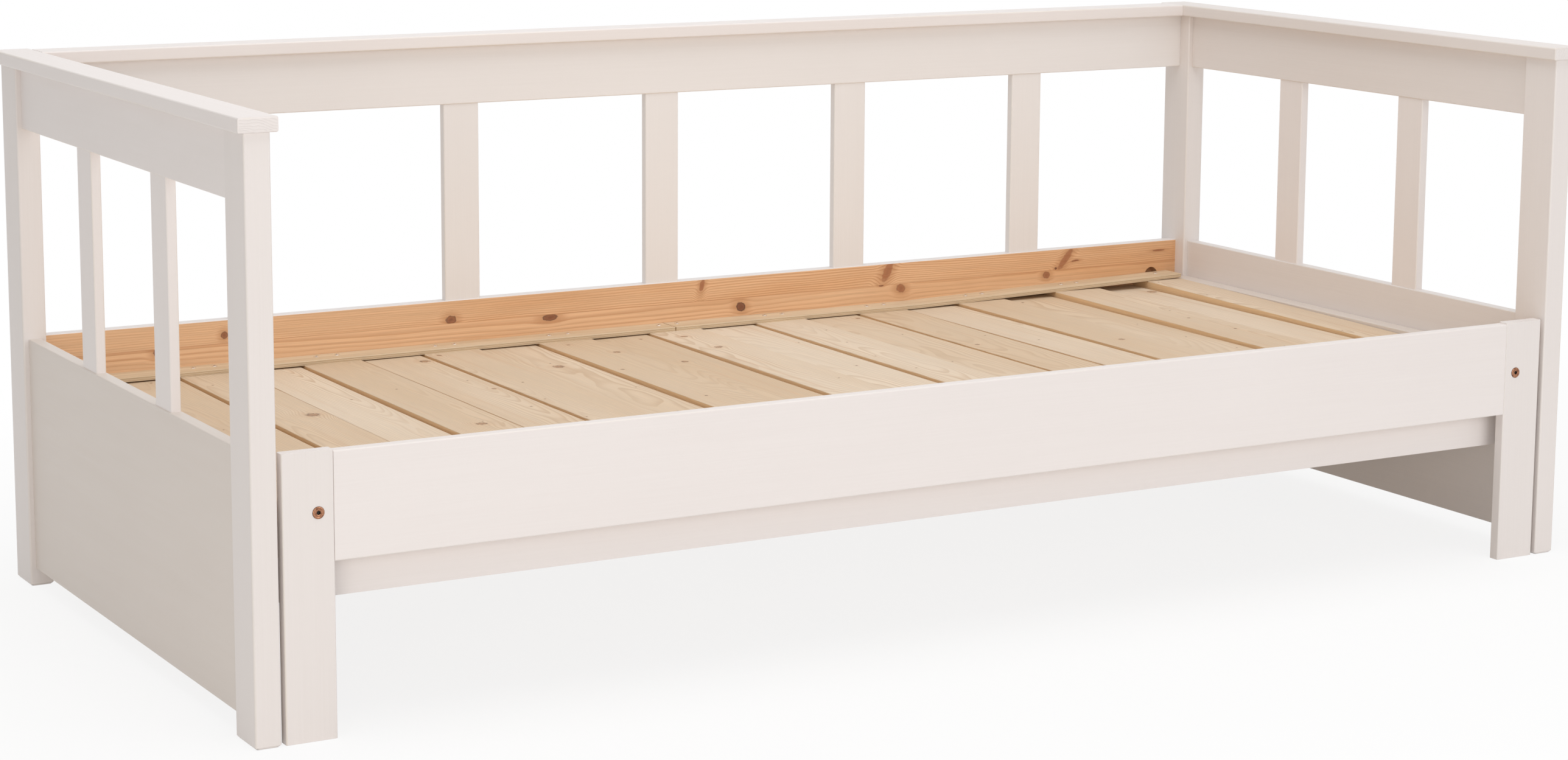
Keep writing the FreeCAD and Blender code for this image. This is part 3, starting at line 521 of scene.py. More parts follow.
def bare_pine():
    """Plain planed pine of the bearers and cleats, out of sight behind the front."""
    look = Look("bare_pine")
    place = board_place(look, "x")
    across, _, depth = look.split(place)
    across = look.plus(across, look.swing(place, (9, 1.5, 9), 0.03))
    from_pith = look.minus(across, 0.21)
    late = look.late_wood(from_pith, look.plus(depth, 0.06), BARE_RING)
    fibre = look.noise(place, (750, 8, 750), detail=3)
    colour = look.tint(look.times(late, 0.6), BARE_EARLY, BARE_LATE)
    colour = look.shaded(colour, look.smooth(fibre, 0.2, 0.8, 0.86, 1.08))
    height = look.weighted((late, 0.6), (fibre, 0.4))
    return look.surface(colour, look.smooth(fibre, 0.3, 0.7, 0.54, 0.70), height, BARE_RELIEF)


def birch_plywood(name, node):
    """Plywood lying flat: rotary-cut birch on its faces, plies and glue lines on its edges."""
    look = Look(name)
    place = look.object_place()
    underside, topside = (corner.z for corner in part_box(node))
    flat = look.minus(look.split(place)[2], look.attribute("strip_lift", "Fac"))
    half = (topside - underside) / 2
    from_middle = look.number("ABSOLUTE", look.minus(flat, underside + half))
    edge = look.smooth(from_middle, half - FACE_ENDS * MM, half - EDGE_STARTS * MM)
    bent = look.vector("ADD", place, look.join(0.0, look.swing(place, (3, 30, 1), 0.03)))
    figure = look.noise(bent, (2.2, 75, 40), detail=3)
    fibre = look.noise(place, (14, 900, 900), detail=3)
    face = look.tint(look.smooth(figure, 0.35, 0.65), BIRCH_PALE, BIRCH_WARM)
    level = look.number("DIVIDE", look.minus(flat, underside), PLY * MM)
    level = look.plus(level, look.swing(place, (14, 14, 0), 0.12))
    to_line = look.number("ABSOLUTE", look.minus(look.number("FRACT", level), 0.5))
    cross = look.number("GREATER_THAN", look.number("MODULO", level, 2.0), 1.0)
    layers = look.tint(look.times(cross, 0.62), BIRCH_PALE, PLY_CROSS)
    layers = look.tint(look.smooth(to_line, 0.38, 0.46, 0.0, 0.8), layers, GLUE_LINE)
    colour = look.tint(edge, face, layers)
    colour = look.shaded(colour, look.smooth(fibre, 0.2, 0.8, 0.86, 1.06))
    height = look.weighted((fibre, 1.0), (look.times(cross, edge), 0.8))
    return look.surface(colour, look.smooth(fibre, 0.3, 0.7, 0.45, 0.62), height, PLYWOOD_RELIEF)


def turned_metal(name, bright, dull, roughness):
    """A small plated fitting, a little cloudy, with faint turning marks and painted shade darkening its
    recesses.
    """
    look = Look(name)
    place = look.object_place()
    cloud = look.noise(place, (240, 240, 240), detail=3)
    marks = look.noise(place, (2600, 2600, 2600), detail=1)
    colour = look.tint(look.smooth(cloud, 0.38, 0.70), bright, dull)
    # Slots and sockets are darkened: painted shade
    colour = look.tint(look.attribute("recess", "Fac"), colour, PAINTED_RECESS_SHADE)
    rough = look.smooth(cloud, 0.3, 0.7, roughness, roughness + 0.16)
    return look.surface(colour, rough, marks, METAL_RELIEF, Metallic=1.0)


LACQUER = {axis: white_lacquer(f"white_lacquer_along_{axis}", axis) for axis in AXES}
# The lighter copy of the white lacquer for the back is painted light
PAINTED_LIGHT_BACK_LACQUER = {axis: white_lacquer(f"white_lacquer_on_back_{axis}", axis, PAINTED_LIGHT_BACK_PALE, PAINTED_LIGHT_BACK_DEEP)
                for axis in "xz"}
# The darker lacquer copy for posts and legs is painted shade
PAINTED_SHADE_POST_LACQUER = white_lacquer("white_lacquer_on_posts", "z", PAINTED_SHADE_POST_PALE, PAINTED_SHADE_POST_DEEP)
# The darker, warmer lacquer copy for the left lower panel and side rails is painted shade
PAINTED_SHADE_PANEL_LACQUER = white_lacquer("white_lacquer_on_left_panel", "y", PAINTED_SHADE_PANEL_PALE, PAINTED_SHADE_PANEL_DEEP)
# The darker lacquer copy for the right end is painted shade
PAINTED_SHADE_RIGHT_LACQUER = white_lacquer("white_lacquer_on_right_end", "y", PAINTED_SHADE_RIGHT_PALE, PAINTED_SHADE_RIGHT_DEEP)
# Each end's lower and upper boards: the left lower panel and the whole right end take darker lacquer copies,
# which are painted shade
END_LACQUER = {"left": {"lower": PAINTED_SHADE_PANEL_LACQUER, "upper": LACQUER["y"]},
               "right": {"lower": PAINTED_SHADE_RIGHT_LACQUER, "upper": PAINTED_SHADE_RIGHT_LACQUER}}
LACQUER_END = {axis: lacquered_end(axis) for axis in AXES}
SPRUCE = spruce_slats()
KNOTTY_PINE = knotty_pine()
BARE_PINE = bare_pine()
STRIP_PLYWOOD = birch_plywood("strip_plywood", "retaining_strip_left")
TAIL_PLYWOOD = birch_plywood("tail_plywood", "tail_strip")
BRONZED = turned_metal("bronzed_steel", BRONZE, BRONZE_TARNISH, 0.24)
ZINCED = turned_metal("zinced_steel", ZINC, ZINC_DULL, 0.26)


def new_piece(name, mesh):
    piece = bpy.data.objects.new(name, mesh)
    bpy.context.scene.collection.objects.link(piece)
    return piece


def discard(piece):
    """Removes a helper and its mesh."""
    mesh = piece.data
    bpy.data.objects.remove(piece)
    bpy.data.meshes.remove(mesh)


def mesh_of(name, bm):
    """The mesh of that name made from an edit mesh, which is then done with."""
    mesh = bpy.data.meshes.new(name)
    bm.to_mesh(mesh)
    bm.free()
    return mesh


def bake(piece):
    """Makes a piece one plain mesh, with its modifiers applied."""
    graph = bpy.context.evaluated_depsgraph_get()
    plain = bpy.data.meshes.new_from_object(piece.evaluated_get(graph), depsgraph=graph)
    piece.modifiers.clear()
    worn = piece.data
    piece.data = plain
    bpy.data.meshes.remove(worn)
    plain.name = piece.name


def settle(piece):
    """Finishes a piece's shading, with flats flat and rounded edges smooth."""
    piece.modifiers.new("even_shading", "WEIGHTED_NORMAL").keep_sharp = True
    bake(piece)
    return piece


def shade(mesh):
    mesh.shade_smooth()
    mesh.set_sharp_from_angle(angle=SHARP_ANGLE)


def ease(bm, edges, size, steps):
    """Takes the sharpness off these edges; size in millimetres."""
    bmesh.ops.bevel(bm, geom=edges, offset=size * MM, segments=steps, affect="EDGES", profile=0.5)


def planed_board(name, low, high, along, edge, end_edge=0.0, foot=0.0):
    """A board between two corners: its long edges rounded, its ends eased, its foot bevelled."""
    run = AXES.index(along)
    bm = bmesh.new()
    bmesh.ops.create_cube(bm, size=1.0)
    for vert in bm.verts:
        vert.co = Vector([low[i] + (vert.co[i] + 0.5) * (high[i] - low[i]) for i in range(3)])

    def lies_at(line, axis, place):
        return all(abs(v.co[axis] - place) < TOUCHING for v in line.verts)

    if foot:
        ease(bm, [e for e in bm.edges if lies_at(e, 2, low[2])], foot, 1)
    long_edges = [e for e in bm.edges if abs(e.verts[0].co[run] - e.verts[1].co[run]) > TOUCHING]
    ease(bm, long_edges, edge, EDGE_STEPS)
    if end_edge:
        rims = [e for e in bm.edges if lies_at(e, run, low[run]) or lies_at(e, run, high[run])]
        ease(bm, rims, end_edge, END_STEPS)
    bmesh.ops.recalc_face_normals(bm, faces=bm.faces)
    mesh = mesh_of(name, bm)
    shade(mesh)
    rounded = mesh.attributes.new("edge", "FLOAT", "FACE")
    for face in mesh.polygons:
        rounded.data[face.index].value = float(max(abs(n) for n in face.normal) < FLAT)
        face.material_index = int(abs(face.normal[run]) > FLAT)
    return new_piece(name, mesh)


def shift_grain(piece):
    """Gives a board its own stretch of grain."""
    draw = random.Random(piece.name)
    offset = [draw.uniform(-GRAIN_REACH, GRAIN_REACH) for _ in AXES]
    shift = piece.data.attributes.new("board_shift", "FLOAT_VECTOR", "POINT")
    for point in shift.data:
        point.vector = offset


def hand_over(piece, body, slot, *stood_for):
    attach(piece, body)
    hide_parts(*stood_for)


def drill(piece, centre, radius, depth):
    """Sinks a round hole along Y from a point on a board's face; radius and depth in millimetres."""
    bm = bmesh.new()
    at = Matrix.Translation(centre) @ Matrix.Rotation(math.radians(90), 4, "X")
    bmesh.ops.create_cone(bm, cap_ends=True, segments=ROUND_SIDES, radius1=radius * MM,
                          radius2=radius * MM, depth=2 * depth * MM, matrix=at)
    cutter = new_piece("drill_bit", mesh_of("drill_bit", bm))
    cut = piece.modifiers.new("hole", "BOOLEAN")
    cut.object = cutter
    cut.solver = "EXACT"
    bake(piece)
    shade(piece.data)
    discard(cutter)


def lacquered_board(node, body, along, edge, low=None, high=None, end_edge=0.0, foot=0.0, seat=None,
                    face=None):
    """One white board in place of a CAD node; low and high give the part of it that shows."""
    box_low, box_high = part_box(node)
    low = [box if own is None else own for own, box in zip(low or (None,) * 3, box_low)]
    high = [box if own is None else own for own, box in zip(high or (None,) * 3, box_high)]
    piece = planed_board(f"lacquered_{node}", low, high, along, edge, end_edge, foot)
    piece.data.materials.append(face or LACQUER[along])
    piece.data.materials.append(LACQUER_END[along])
    if seat:
        drill(piece, seat, BOLT_SEAT, BOLT_SEAT_DEPTH)
    shift_grain(piece)
    hand_over(settle(piece), body, "white_lacquer", node)


def lacquered_frame():
    """Posts, caps, panels and balusters."""
    for side in SIDES:
        for end in ("front", "rear"):
            # Posts take the darker lacquer copy, which is painted shade
            lacquered_board(f"post_{end}_{side}", "frame", "z", POST_EDGE, foot=FOOT_BEVEL, face=PAINTED_SHADE_POST_LACQUER)
        # The right cap takes the darker lacquer copy, which is painted shade, as do the right panels and the
        # left lower panel
        lacquered_board(f"cap_{side}", "frame", "y", CAP_EDGE, end_edge=CAP_END_EDGE,
                        face=END_LACQUER[side]["upper"])
        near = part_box(f"post_front_{side}")[1].y
        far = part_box(f"post_rear_{side}")[0].y
        for level, face in END_LACQUER[side].items():
            lacquered_board(f"end_panel_{level}_{side}", "frame", "y", PANEL_EDGE,
                            (None, near, None), (None, far, None), end_edge=JOINT_EDGE, face=face)
        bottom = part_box(f"end_panel_lower_{side}")[1].z
        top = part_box(f"end_panel_upper_{side}")[0].z
        for place in (1, 2):
            lacquered_board(f"end_baluster_{side}_{place}", "frame", "z", BALUSTER_EDGE,
                            (None, None, bottom), (None, None, top))
    left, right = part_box("post_rear_left")[1].x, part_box("post_rear_right")[0].x
    lacquered_board("cap_rear", "frame", "x", CAP_EDGE, end_edge=JOINT_EDGE)
    # The rear panel and rear balusters take the lighter lacquer copy, which is painted light
    lacquered_board("rear_panel_upper", "frame", "x", PANEL_EDGE,
                    (left, None, None), (right, None, None), end_edge=JOINT_EDGE, face=PAINTED_LIGHT_BACK_LACQUER["x"])
    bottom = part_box("rear_rail")[1].z
    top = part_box("rear_panel_upper")[0].z
    for place in range(1, 6):
        lacquered_board(f"rear_baluster_{place}", "frame", "z", BALUSTER_EDGE,
                        (None, None, bottom), (None, None, top), face=PAINTED_LIGHT_BACK_LACQUER["z"])


def bolt_centres():
    """The middle of each leg bolt's head, on the face of its leg."""
    low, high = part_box("leg_bolts")
    level = (low.z + high.z) / 2
    reach = high.x - BOLT_HEAD * MM
    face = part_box("leg_left")[0].y
    return {"left": Vector((-reach, face, level)), "right": Vector((reach, face, level))}


def lacquered_front():
    """Legs and front rail of the pull-out."""
    for side in SIDES:
        # Legs take the darker lacquer copy, which is painted shade
        lacquered_board(f"leg_{side}", "pullout", "z", FRONT_EDGE, end_edge=JOINT_EDGE,
                        seat=bolt_centres()[side], face=PAINTED_SHADE_POST_LACQUER)
    left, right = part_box("leg_left")[1].x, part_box("leg_right")[0].x
    lacquered_board("front_rail", "pullout", "x", FRONT_EDGE,
                    (left, None, None), (right, None, None), end_edge=JOINT_EDGE)


def rear_rail():
    """The pine rail: bare on its inner face and in its pockets, lacquered on top and behind."""
    low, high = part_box("rear_rail")
    piece = planed_board("rear_rail_bare_inside", low, high, "x", PANEL_EDGE)
    for middle in (low.x + POCKET_INSET * MM, high.x - POCKET_INSET * MM):
        drill(piece, Vector((middle, low.y, high.z - POCKET_DROP * MM)), POCKET, POCKET_DEPTH)
    piece.data.materials.clear()
    piece.data.materials.append(KNOTTY_PINE)
    piece.data.materials.append(LACQUER["x"])
    for polygon in piece.data.polygons:
        behind = polygon.center.y > high.y - PANEL_EDGE * MM
        above = polygon.center.z > high.z - PANEL_EDGE * MM * 0.6
        polygon.material_index = int(behind or above)
    hand_over(settle(piece), "frame", "natural_pine", "rear_rail")


def new_tree(name, kinds, made):
    """Starts a geometry tree with these inputs and one output; gives its layout and its inputs."""
    tree = bpy.data.node_groups.new(name, "GeometryNodeTree")
    for socket, kind in kinds.items():
        tree.interface.new_socket(socket, in_out="INPUT", socket_type=f"NodeSocket{kind}")
    tree.interface.new_socket(made, in_out="OUTPUT", socket_type="NodeSocketGeometry")
    lay = Layout(tree)
    return lay, lay.put("NodeGroupInput").outputs


def comb_tree():
    """Geometry nodes for a row of slats: each planed alike, then turned and bowed a little its own way."""
    lay, given = new_tree("slat_comb", {
        "Count": "Int", "Pitch": "Float", "Width": "Float", "End Width": "Float", "Length": "Float",
        "Thickness": "Float", "Edge": "Float", "Middle": "Vector", "Bow": "Float", "Turn": "Float",
        "Rise": "Float", "Rise From": "Float", "Rise To": "Float", "Seed": "Int", "Wood": "Material",
    }, "Slats")

    # One slat: a rounded section drawn along its length
    section = lay.result("GeometryNodeCurvePrimitiveQuadrilateral",
                         {"Width": given["Width"], "Height": given["Thickness"]})
    section = lay.result("GeometryNodeFilletCurve",
                         {"Curve": section, "Count": SLAT_EDGE_STEPS, "Radius": given["Edge"]}, mode="POLY")
    half = lay.times(given["Length"], 0.5)
    start = lay.join(0.0, lay.times(half, -1.0))
    run = lay.result("GeometryNodeCurvePrimitiveLine", {"Start": start, "End": lay.join(0.0, half)})
    run = lay.result("GeometryNodeResampleCurve", {"Curve": run, "Count": SLAT_STATIONS})
    run = lay.result("GeometryNodeSetCurveNormal", {"Curve": run}, mode="Z_UP")
    slat = lay.result("GeometryNodeCurveToMesh", {"Curve": run, "Profile Curve": section, "Fill Caps": True})
    place = lay.result("GeometryNodeInputPosition")

    def store(geometry, name, value, data_type, domain):
        return lay.result("GeometryNodeStoreNamedAttribute",
                          {"Geometry": geometry, "Name": name, "Value": value},
                          data_type=data_type, domain=domain)

    def kept(name, data_type):
        return lay.result("GeometryNodeInputNamedAttribute", {"Name": name}, data_type=data_type)

    def draw(low, high, offset, data_type="FLOAT"):
        seed = lay.plus(given["Seed"], float(offset))
        return lay.result("FunctionNodeRandomValue", {"Min": low, "Max": high, "Seed": seed},
                          data_type=data_type)

    slat = store(slat, "slat_place", place, "FLOAT_VECTOR", "POINT")

    # The row, with the outermost slats cut narrower on their outer sides
    last = lay.minus(given["Count"], 1.0)
    first_x = lay.times(lay.times(last, given["Pitch"]), -0.5)
    row = lay.result("GeometryNodeMeshLine",
                     {"Count": given["Count"], "Start Location": lay.join(first_x),
                      "Offset": lay.join(given["Pitch"])})
    index = lay.result("GeometryNodeInputIndex")
    is_first = lay.number("LESS_THAN", index, 0.5)
    is_last = lay.number("GREATER_THAN", index, lay.minus(last, 0.5))
    cut_off = lay.minus(given["Width"], given["End Width"])
    inward = lay.minus(is_first, is_last)
    inward = lay.times(inward, lay.times(cut_off, 0.5))
    moved = lay.vector("ADD", given["Middle"], lay.join(inward))
    row = lay.result("GeometryNodeSetPosition", {"Geometry": row, "Offset": moved})
    ends = lay.plus(is_first, is_last)
    narrow = lay.number("DIVIDE", lay.times(ends, cut_off), given["Width"])
    scale = lay.join(lay.minus(1.0, narrow), 1.0, 1.0)

    # Each slat lies and grew a little differently
    turn = lay.times(draw(-1.0, 1.0, 0), given["Turn"])
    skew = lay.times(draw(-1.0, 1.0, 1), given["Turn"])
    turned = lay.join(0.0, turn, lay.times(skew, SKEW_SHARE))
    comb = lay.result("GeometryNodeInstanceOnPoints",
                      {"Points": row, "Instance": slat, "Rotation": turned, "Scale": scale})
    near_edge = lay.scaled(given["Width"], -LIFTED_SHARE, lay.split(place)[0])
    rise = lay.result("ShaderNodeMapRange", {"Value": near_edge, "From Min": given["Rise From"],
                                             "From Max": given["Rise To"], "To Max": given["Rise"]})
    cut = draw((0, 0, 0), (1, 1, 1), 2, "FLOAT_VECTOR")
    comb = store(comb, "slat_cut", cut, "FLOAT_VECTOR", "INSTANCE")
    comb = store(comb, "slat_tone", draw(0.0, 1.0, 3), "FLOAT", "INSTANCE")
    comb = store(comb, "slat_bow", draw(-1.0, 1.0, 4), "FLOAT", "INSTANCE")
    comb = store(comb, "slat_rise", rise, "FLOAT", "INSTANCE")
    comb = lay.result("GeometryNodeRealizeInstances", {"Geometry": comb})

    # A bow that dies out at both ends, where the slat is held, and a rise towards the rear end
    share = lay.number("DIVIDE", lay.split(kept("slat_place", "FLOAT_VECTOR"))[1], half)
    arch = lay.minus(1.0, lay.times(share, share))
    bowed = lay.times(lay.times(arch, kept("slat_bow", "FLOAT")), given["Bow"])
    rearward = lay.scaled(share, 0.5, 0.5)
    lift = lay.scaled(kept("slat_rise", "FLOAT"), rearward, bowed)
    comb = lay.result("GeometryNodeSetPosition", {"Geometry": comb, "Offset": lay.join(0.0, 0.0, lift)})
    comb = lay.result("GeometryNodeSetMaterial", {"Geometry": comb, "Material": given["Wood"]})
    lay.put("NodeGroupOutput", {"Slats": comb})
    return lay.tree


def grown(name, tree, **inputs):
    """The plain mesh that a geometry tree makes from these inputs."""
    piece = new_piece(name, bpy.data.meshes.new(name))
    grow = piece.modifiers.new("grow", "NODES")
    grow.node_group = tree
    for item in tree.interface.items_tree:
        if item.in_out == "INPUT":
            grow[item.identifier] = inputs[item.name.lower().replace(" ", "_")]
    bake(piece)
    shade(piece.data)
    return settle(piece)


def slat_nodes(kind):
    return sorted(n for n in nodes if n.startswith(f"{kind}_slat"))


def slat_combs():
    """The fixed comb and the moving comb, each one piece on its own body."""
    tree = comb_tree()
    for kind, (body, seed, turn, rise) in COMBS.items():
        row = slat_nodes(kind)
        boxes = sorted((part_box(n) for n in row), key=lambda box: box[0].x)
        middle_low, middle_high = boxes[len(boxes) // 2]
        pitch = boxes[3][0].x - boxes[2][0].x
        middle = (0.0, (middle_low.y + middle_high.y) / 2, (middle_low.z + middle_high.z) / 2)
        comb = grown(f"{kind}_slats_spruce", tree, count=len(row), pitch=pitch,
                     width=middle_high.x - middle_low.x, end_width=boxes[0][1].x - boxes[0][0].x,
                     length=middle_high.y - middle_low.y, thickness=middle_high.z - middle_low.z,
                     edge=SLAT_EDGE * MM, middle=middle, bow=SLAT_BOW * MM, turn=math.radians(turn),
                     rise=rise * MM, rise_from=STRIP_RISE_FROM * MM,
                     rise_to=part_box("retaining_strip_right")[1].x, seed=seed, wood=SPRUCE)
        hand_over(comb, body, "spruce_slats", *row)


def strip_lift(x):
    """How far the strip has come up at a place along the bed: nothing but towards the right end."""
    start = STRIP_RISE_FROM * MM
    share = (x - start) / (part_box("retaining_strip_right")[1].x - start)
    return STRIP_RISE * MM * max(share, 0.0)


def retaining_strips():
    """Two lengths of plywood over the rear ends of the fixed slats, butted in the middle."""
    for side in SIDES:
        node = f"retaining_strip_{side}"
        low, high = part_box(node)
        if side == "left":
            high.x -= STRIP_BUTT * MM
        else:
            low.x += STRIP_BUTT * MM
        piece = planed_board(f"{node}_plywood", low, high, "x", STRIP_EDGE, end_edge=STRIP_EDGE)
        bm = bmesh.new()
        bm.from_mesh(piece.data)
        for station in range(1, STRIP_STATIONS):
            x = low.x + (high.x - low.x) * station / STRIP_STATIONS
            everything = bm.verts[:] + bm.edges[:] + bm.faces[:]
            bmesh.ops.bisect_plane(bm, geom=everything, plane_co=(x, 0, 0), plane_no=(1, 0, 0))
        lift = bm.verts.layers.float.new("strip_lift")
        for vert in bm.verts:
            vert[lift] = strip_lift(vert.co.x)
            vert.co.z += vert[lift]
        bm.to_mesh(piece.data)
        bm.free()
        shade(piece.data)
        # Faces and sawn ends have a slot each, and the plywood finish serves both
        for _ in range(2):
            piece.data.materials.append(STRIP_PLYWOOD)
        hand_over(settle(piece), "frame", "birch_plywood", node)


def directions(sides):
    """The angles of a ring's points."""
    return [2 * math.pi * i / sides for i in range(sides)]


def close_rings(bm, loops):
    """Skins a stack of equal rings and closes both ends; gives the faces of each band in order."""
    bands = []
    for outer, inner in zip(loops, loops[1:]):
        count = len(outer)
        bands.append([bm.faces.new((outer[i], outer[(i + 1) % count], inner[(i + 1) % count], inner[i]))
                      for i in range(count)])
    bm.faces.new(loops[0])
    bands.append([bm.faces.new(loops[-1])])
    return bands


def fitting_mesh():
    """An empty mesh whose faces can be marked as lying in a slot or socket."""
    bm = bmesh.new()
    return bm, bm.faces.layers.float.new("recess")


def mark_recess(layer, bands):
    """Marks the faces of these bands, where the metal is darkened with painted shade."""
    for band in bands:
        for face in band:
            face[layer] = 1.0


def screw_head():
    """One cross-slotted round head that stands just proud of the wood."""
    bm, recess = fitting_mesh()

    def ring(reaches, level):
        points = []
        for i, angle in enumerate(directions(SCREW_SIDES)):
            radius = SCREW_HEAD * reaches[i % len(reaches)] * MM
            points.append(bm.verts.new((radius * math.cos(angle), radius * math.sin(angle), level * MM)))
        return points

    # Shares of the head's radius, and heights in millimetres
    rim = ((0.97, -0.5), (1.0, 0.0), (1.0, 0.35), (0.88, 0.78), (0.66, 1.0))
    loops = [ring((share,), level) for share, level in rim]
    # The cross: every fourth point stays out, the rest pull in to the slot's walls
    slot = ring((0.62, 0.34, 0.17, 0.34), 1.0)
    floor = [bm.verts.new((v.co.x * 0.6, v.co.y * 0.6, -0.9 * MM)) for v in slot]
    bands = close_rings(bm, loops + [slot, floor])
    # The slot's walls and floor get painted shade
    mark_recess(recess, bands[-2:])
    bmesh.ops.recalc_face_normals(bm, faces=bm.faces)
    return new_piece("screw_head", mesh_of("screw_head", bm))


def screw_tree():
    """Geometry nodes that set one screw, turned at random, at each point of a mesh."""
    lay, given = new_tree("screw_row", {"Places": "Object", "Screw": "Object", "Seed": "Int",
                                        "Metal": "Material"}, "Screws")
    places = lay.put("GeometryNodeObjectInfo", {"Object": given["Places"]}).outputs["Geometry"]
    screw = lay.put("GeometryNodeObjectInfo", {"Object": given["Screw"]}).outputs["Geometry"]
    driven = lay.result("FunctionNodeRandomValue",
                        {"Min": (-SCREW_TILT, -SCREW_TILT, 0.0), "Max": (SCREW_TILT, SCREW_TILT, SCREW_SPIN),
                         "Seed": given["Seed"]}, data_type="FLOAT_VECTOR")
    screws = lay.result("GeometryNodeInstanceOnPoints",
                        {"Points": places, "Instance": screw, "Rotation": driven})
    screws = lay.result("GeometryNodeRealizeInstances", {"Geometry": screws})
    screws = lay.result("GeometryNodeSetMaterial", {"Geometry": screws, "Material": given["Metal"]})
    lay.put("NodeGroupOutput", {"Screws": screws})
    return lay.tree


def strip_screws():
    """Two screws through the strip into each fixed slat, one into each narrow end slat."""
    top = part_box("retaining_strip_left")[1].z
    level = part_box("rear_rail")[0].y - SCREW_FROM_RAIL * MM
    points = []
    for node in slat_nodes("fixed"):
        low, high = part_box(node)
        middle = (low.x + high.x) / 2
        narrow = high.x - low.x < NARROW_SLAT * MM
        apart = (0.0,) if narrow else (-SCREW_SPACING / 2, SCREW_SPACING / 2)
        for offset in apart:
            x = middle + offset * MM
            points.append((x, level, top + strip_lift(x)))
    marks = bpy.data.meshes.new("screw_places")
    marks.from_pydata(points, [], [])
    places = new_piece("screw_places", marks)
    screw = screw_head()
    screws = grown("strip_screws", screw_tree(), places=places, screw=screw, seed=SCREW_SEED, metal=ZINCED)
    discard(places)
    discard(screw)
    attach(screws, "frame")


def hexagon(angle):
    """How far the socket's wall lies from its axis in that direction, in millimetres."""
    return SOCKET / 2 / math.cos((angle + math.pi / 6) % (math.pi / 3) - math.pi / 6)


def leg_bolts():
    """Bronzed socket-head bolts: a chamfered rim, a dished face and a hexagon socket, on their shanks."""
    inner_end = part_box("leg_bolts")[1].y
    # Radius in millimetres, or none for the hexagon, and how far each ring stands in front of the leg,
    # or none for the shank's inner end
    rings = ((BOLT_SHANK, None), (BOLT_SHANK, -BOLT_SEAT_DEPTH), (BOLT_HEAD, -BOLT_SEAT_DEPTH),
             (BOLT_HEAD, 0.62), (7.05, 0.95), (6.1, 1.0), (5.75, 0.82), (4.3, 0.74), (3.9, 0.92),
             (3.3, 0.92), (None, 0.70), (None, -0.6), (None, -0.7))
    bm, recess = fitting_mesh()
    sunk = []
    for centre in bolt_centres().values():
        loops = []
        for radius, proud in rings:
            y = inner_end if proud is None else centre.y - proud * MM
            loop = []
            for angle in directions(ROUND_SIDES):
                reach = (hexagon(angle) if radius is None else radius) * MM
                x, z = centre.x + reach * math.cos(angle), centre.z + reach * math.sin(angle)
                loop.append(bm.verts.new((x, y, z)))
            loops.append(loop)
        sunk += close_rings(bm, loops)[-3:]
    # The socket's walls and floor get painted shade
    mark_recess(recess, sunk)
    bmesh.ops.recalc_face_normals(bm, faces=bm.faces)
    mesh = mesh_of("leg_bolts_bronzed", bm)
    shade(mesh)
    mesh.materials.append(BRONZED)
    hand_over(settle(new_piece("leg_bolts_bronzed", mesh)), "pullout", "bronzed_bolts", "leg_bolts")


def carried_over():
    """CAD nodes that show as they are, with their look."""
    finishes = (
        (LACQUER["x"], ("front_beam",)),
        # The side rails take the darker lacquer copy of the left lower panel, which is painted shade
        (PAINTED_SHADE_PANEL_LACQUER, ("side_rail_left", "side_rail_right")),
        (BARE_PINE, ("rear_slat_bearer", "front_slat_bearer", "leg_cleat_left", "leg_cleat_right")),
        (TAIL_PLYWOOD, ("tail_strip",)),
        (ZINCED, ("bed_bolts", "bed_bolt_washers", "bed_bolt_nuts")),
    )
    for material, finished in finishes:
        for node in finished:
            for place in nodes[node].material_slots:
                place.material = material


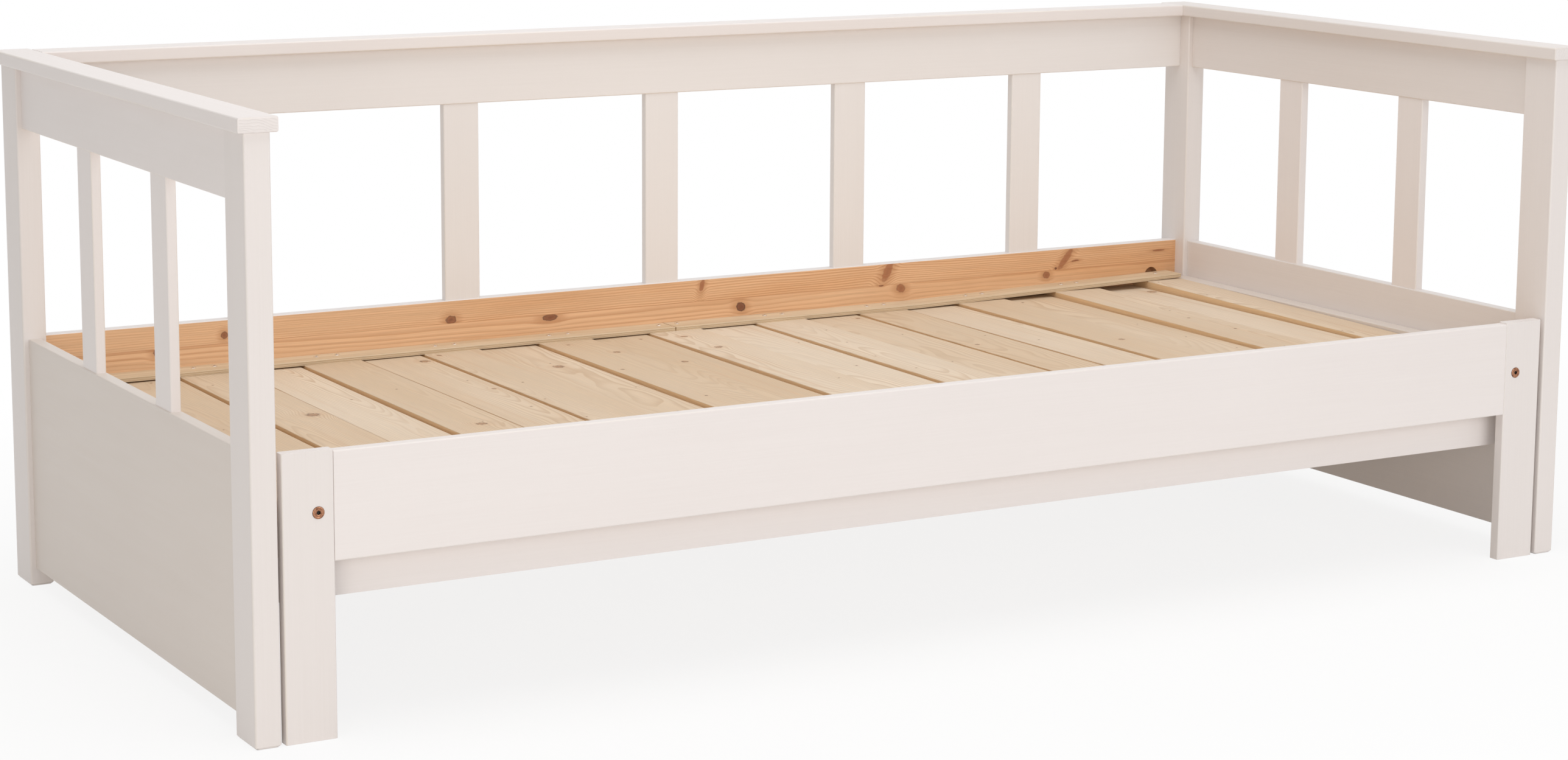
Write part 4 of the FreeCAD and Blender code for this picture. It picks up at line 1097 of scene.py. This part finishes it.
def floor_finish():
    """Pale studio floor: it takes the shadow near the bed and runs out into plain white."""
    look = Look("studio_floor")
    seen = look.seen()
    place = look.object_place()
    away = look.vector("LENGTH", look.vector("MULTIPLY", place, FLOOR_OVAL))
    grain = look.noise(place, (3, 3, 3), detail=2)
    colour = look.tint(grain, FLOOR_DEEP, FLOOR_LIGHT)
    matt = look.result("ShaderNodeBsdfDiffuse", {"Color": colour})
    glow = look.result("ShaderNodeEmission", {"Color": WHITE, "Strength": 1.0})
    share = look.smooth(away, SHADOW_NEAR, SHADOW_FAR, WHITE_NEAR, 1.0)
    shown = look.result("ShaderNodeMixShader", {0: share, 1: matt, 2: glow})
    both = look.result("ShaderNodeMixShader", {0: seen, 1: matt, 2: shown})
    look.put("ShaderNodeOutputMaterial", {"Surface": both})
    return look.material


def studio():
    """Floor, white surround and soft lamps."""
    bm = bmesh.new()
    bmesh.ops.create_circle(bm, cap_ends=True, segments=FLOOR_SIDES, radius=FLOOR_RADIUS)
    floor = new_piece("studio_floor", mesh_of("studio_floor", bm))
    floor.data.materials.append(floor_finish())

    world = bpy.data.worlds.new("studio")
    bpy.context.scene.world = world
    world.use_nodes = True
    world.node_tree.nodes.clear()
    lay = Layout(world.node_tree)
    fill = lay.result("ShaderNodeBackground", {"Color": FILL, "Strength": FILL_STRENGTH})
    white = lay.result("ShaderNodeBackground", {"Color": WHITE, "Strength": 1.0})
    both = lay.result("ShaderNodeMixShader", {0: lay.seen(), 1: fill, 2: white})
    lay.put("ShaderNodeOutputWorld", {"Surface": both})

    for name, (place, aim, side, watts, colour) in LAMPS.items():
        light = bpy.data.lights.new(name, "AREA")
        light.energy = watts
        light.color = colour
        light.size = side
        lamp = new_piece(name, light)
        lamp.location = place
        lamp.rotation_euler = (Vector(aim) - Vector(place)).to_track_quat("-Z", "Y").to_euler()


def camera():
    """The camera that took the photograph, as fitted to the bed's edges."""
    lens = bpy.data.cameras.new("camera")
    lens.sensor_width = SENSOR_WIDTH
    lens.lens = FOCAL_PIXELS / PICTURE_WIDTH * SENSOR_WIDTH
    lens.shift_y = CAMERA_SHIFT
    eye = new_piece("camera", lens)
    turn = Matrix.Rotation(CAMERA_YAW, 4, "Z") @ Matrix.Rotation(math.pi / 2 + CAMERA_PITCH, 4, "X")
    turn = turn @ Matrix.Rotation(CAMERA_ROLL, 4, "Z")
    eye.matrix_world = Matrix.Translation(Vector(CAMERA_PLACE) * MM) @ turn
    bpy.context.scene.camera = eye


lacquered_frame()
lacquered_front()
rear_rail()
slat_combs()
retaining_strips()
strip_screws()
leg_bolts()
carried_over()
studio()
camera()
bpy.context.scene.view_settings.view_transform = "Standard"
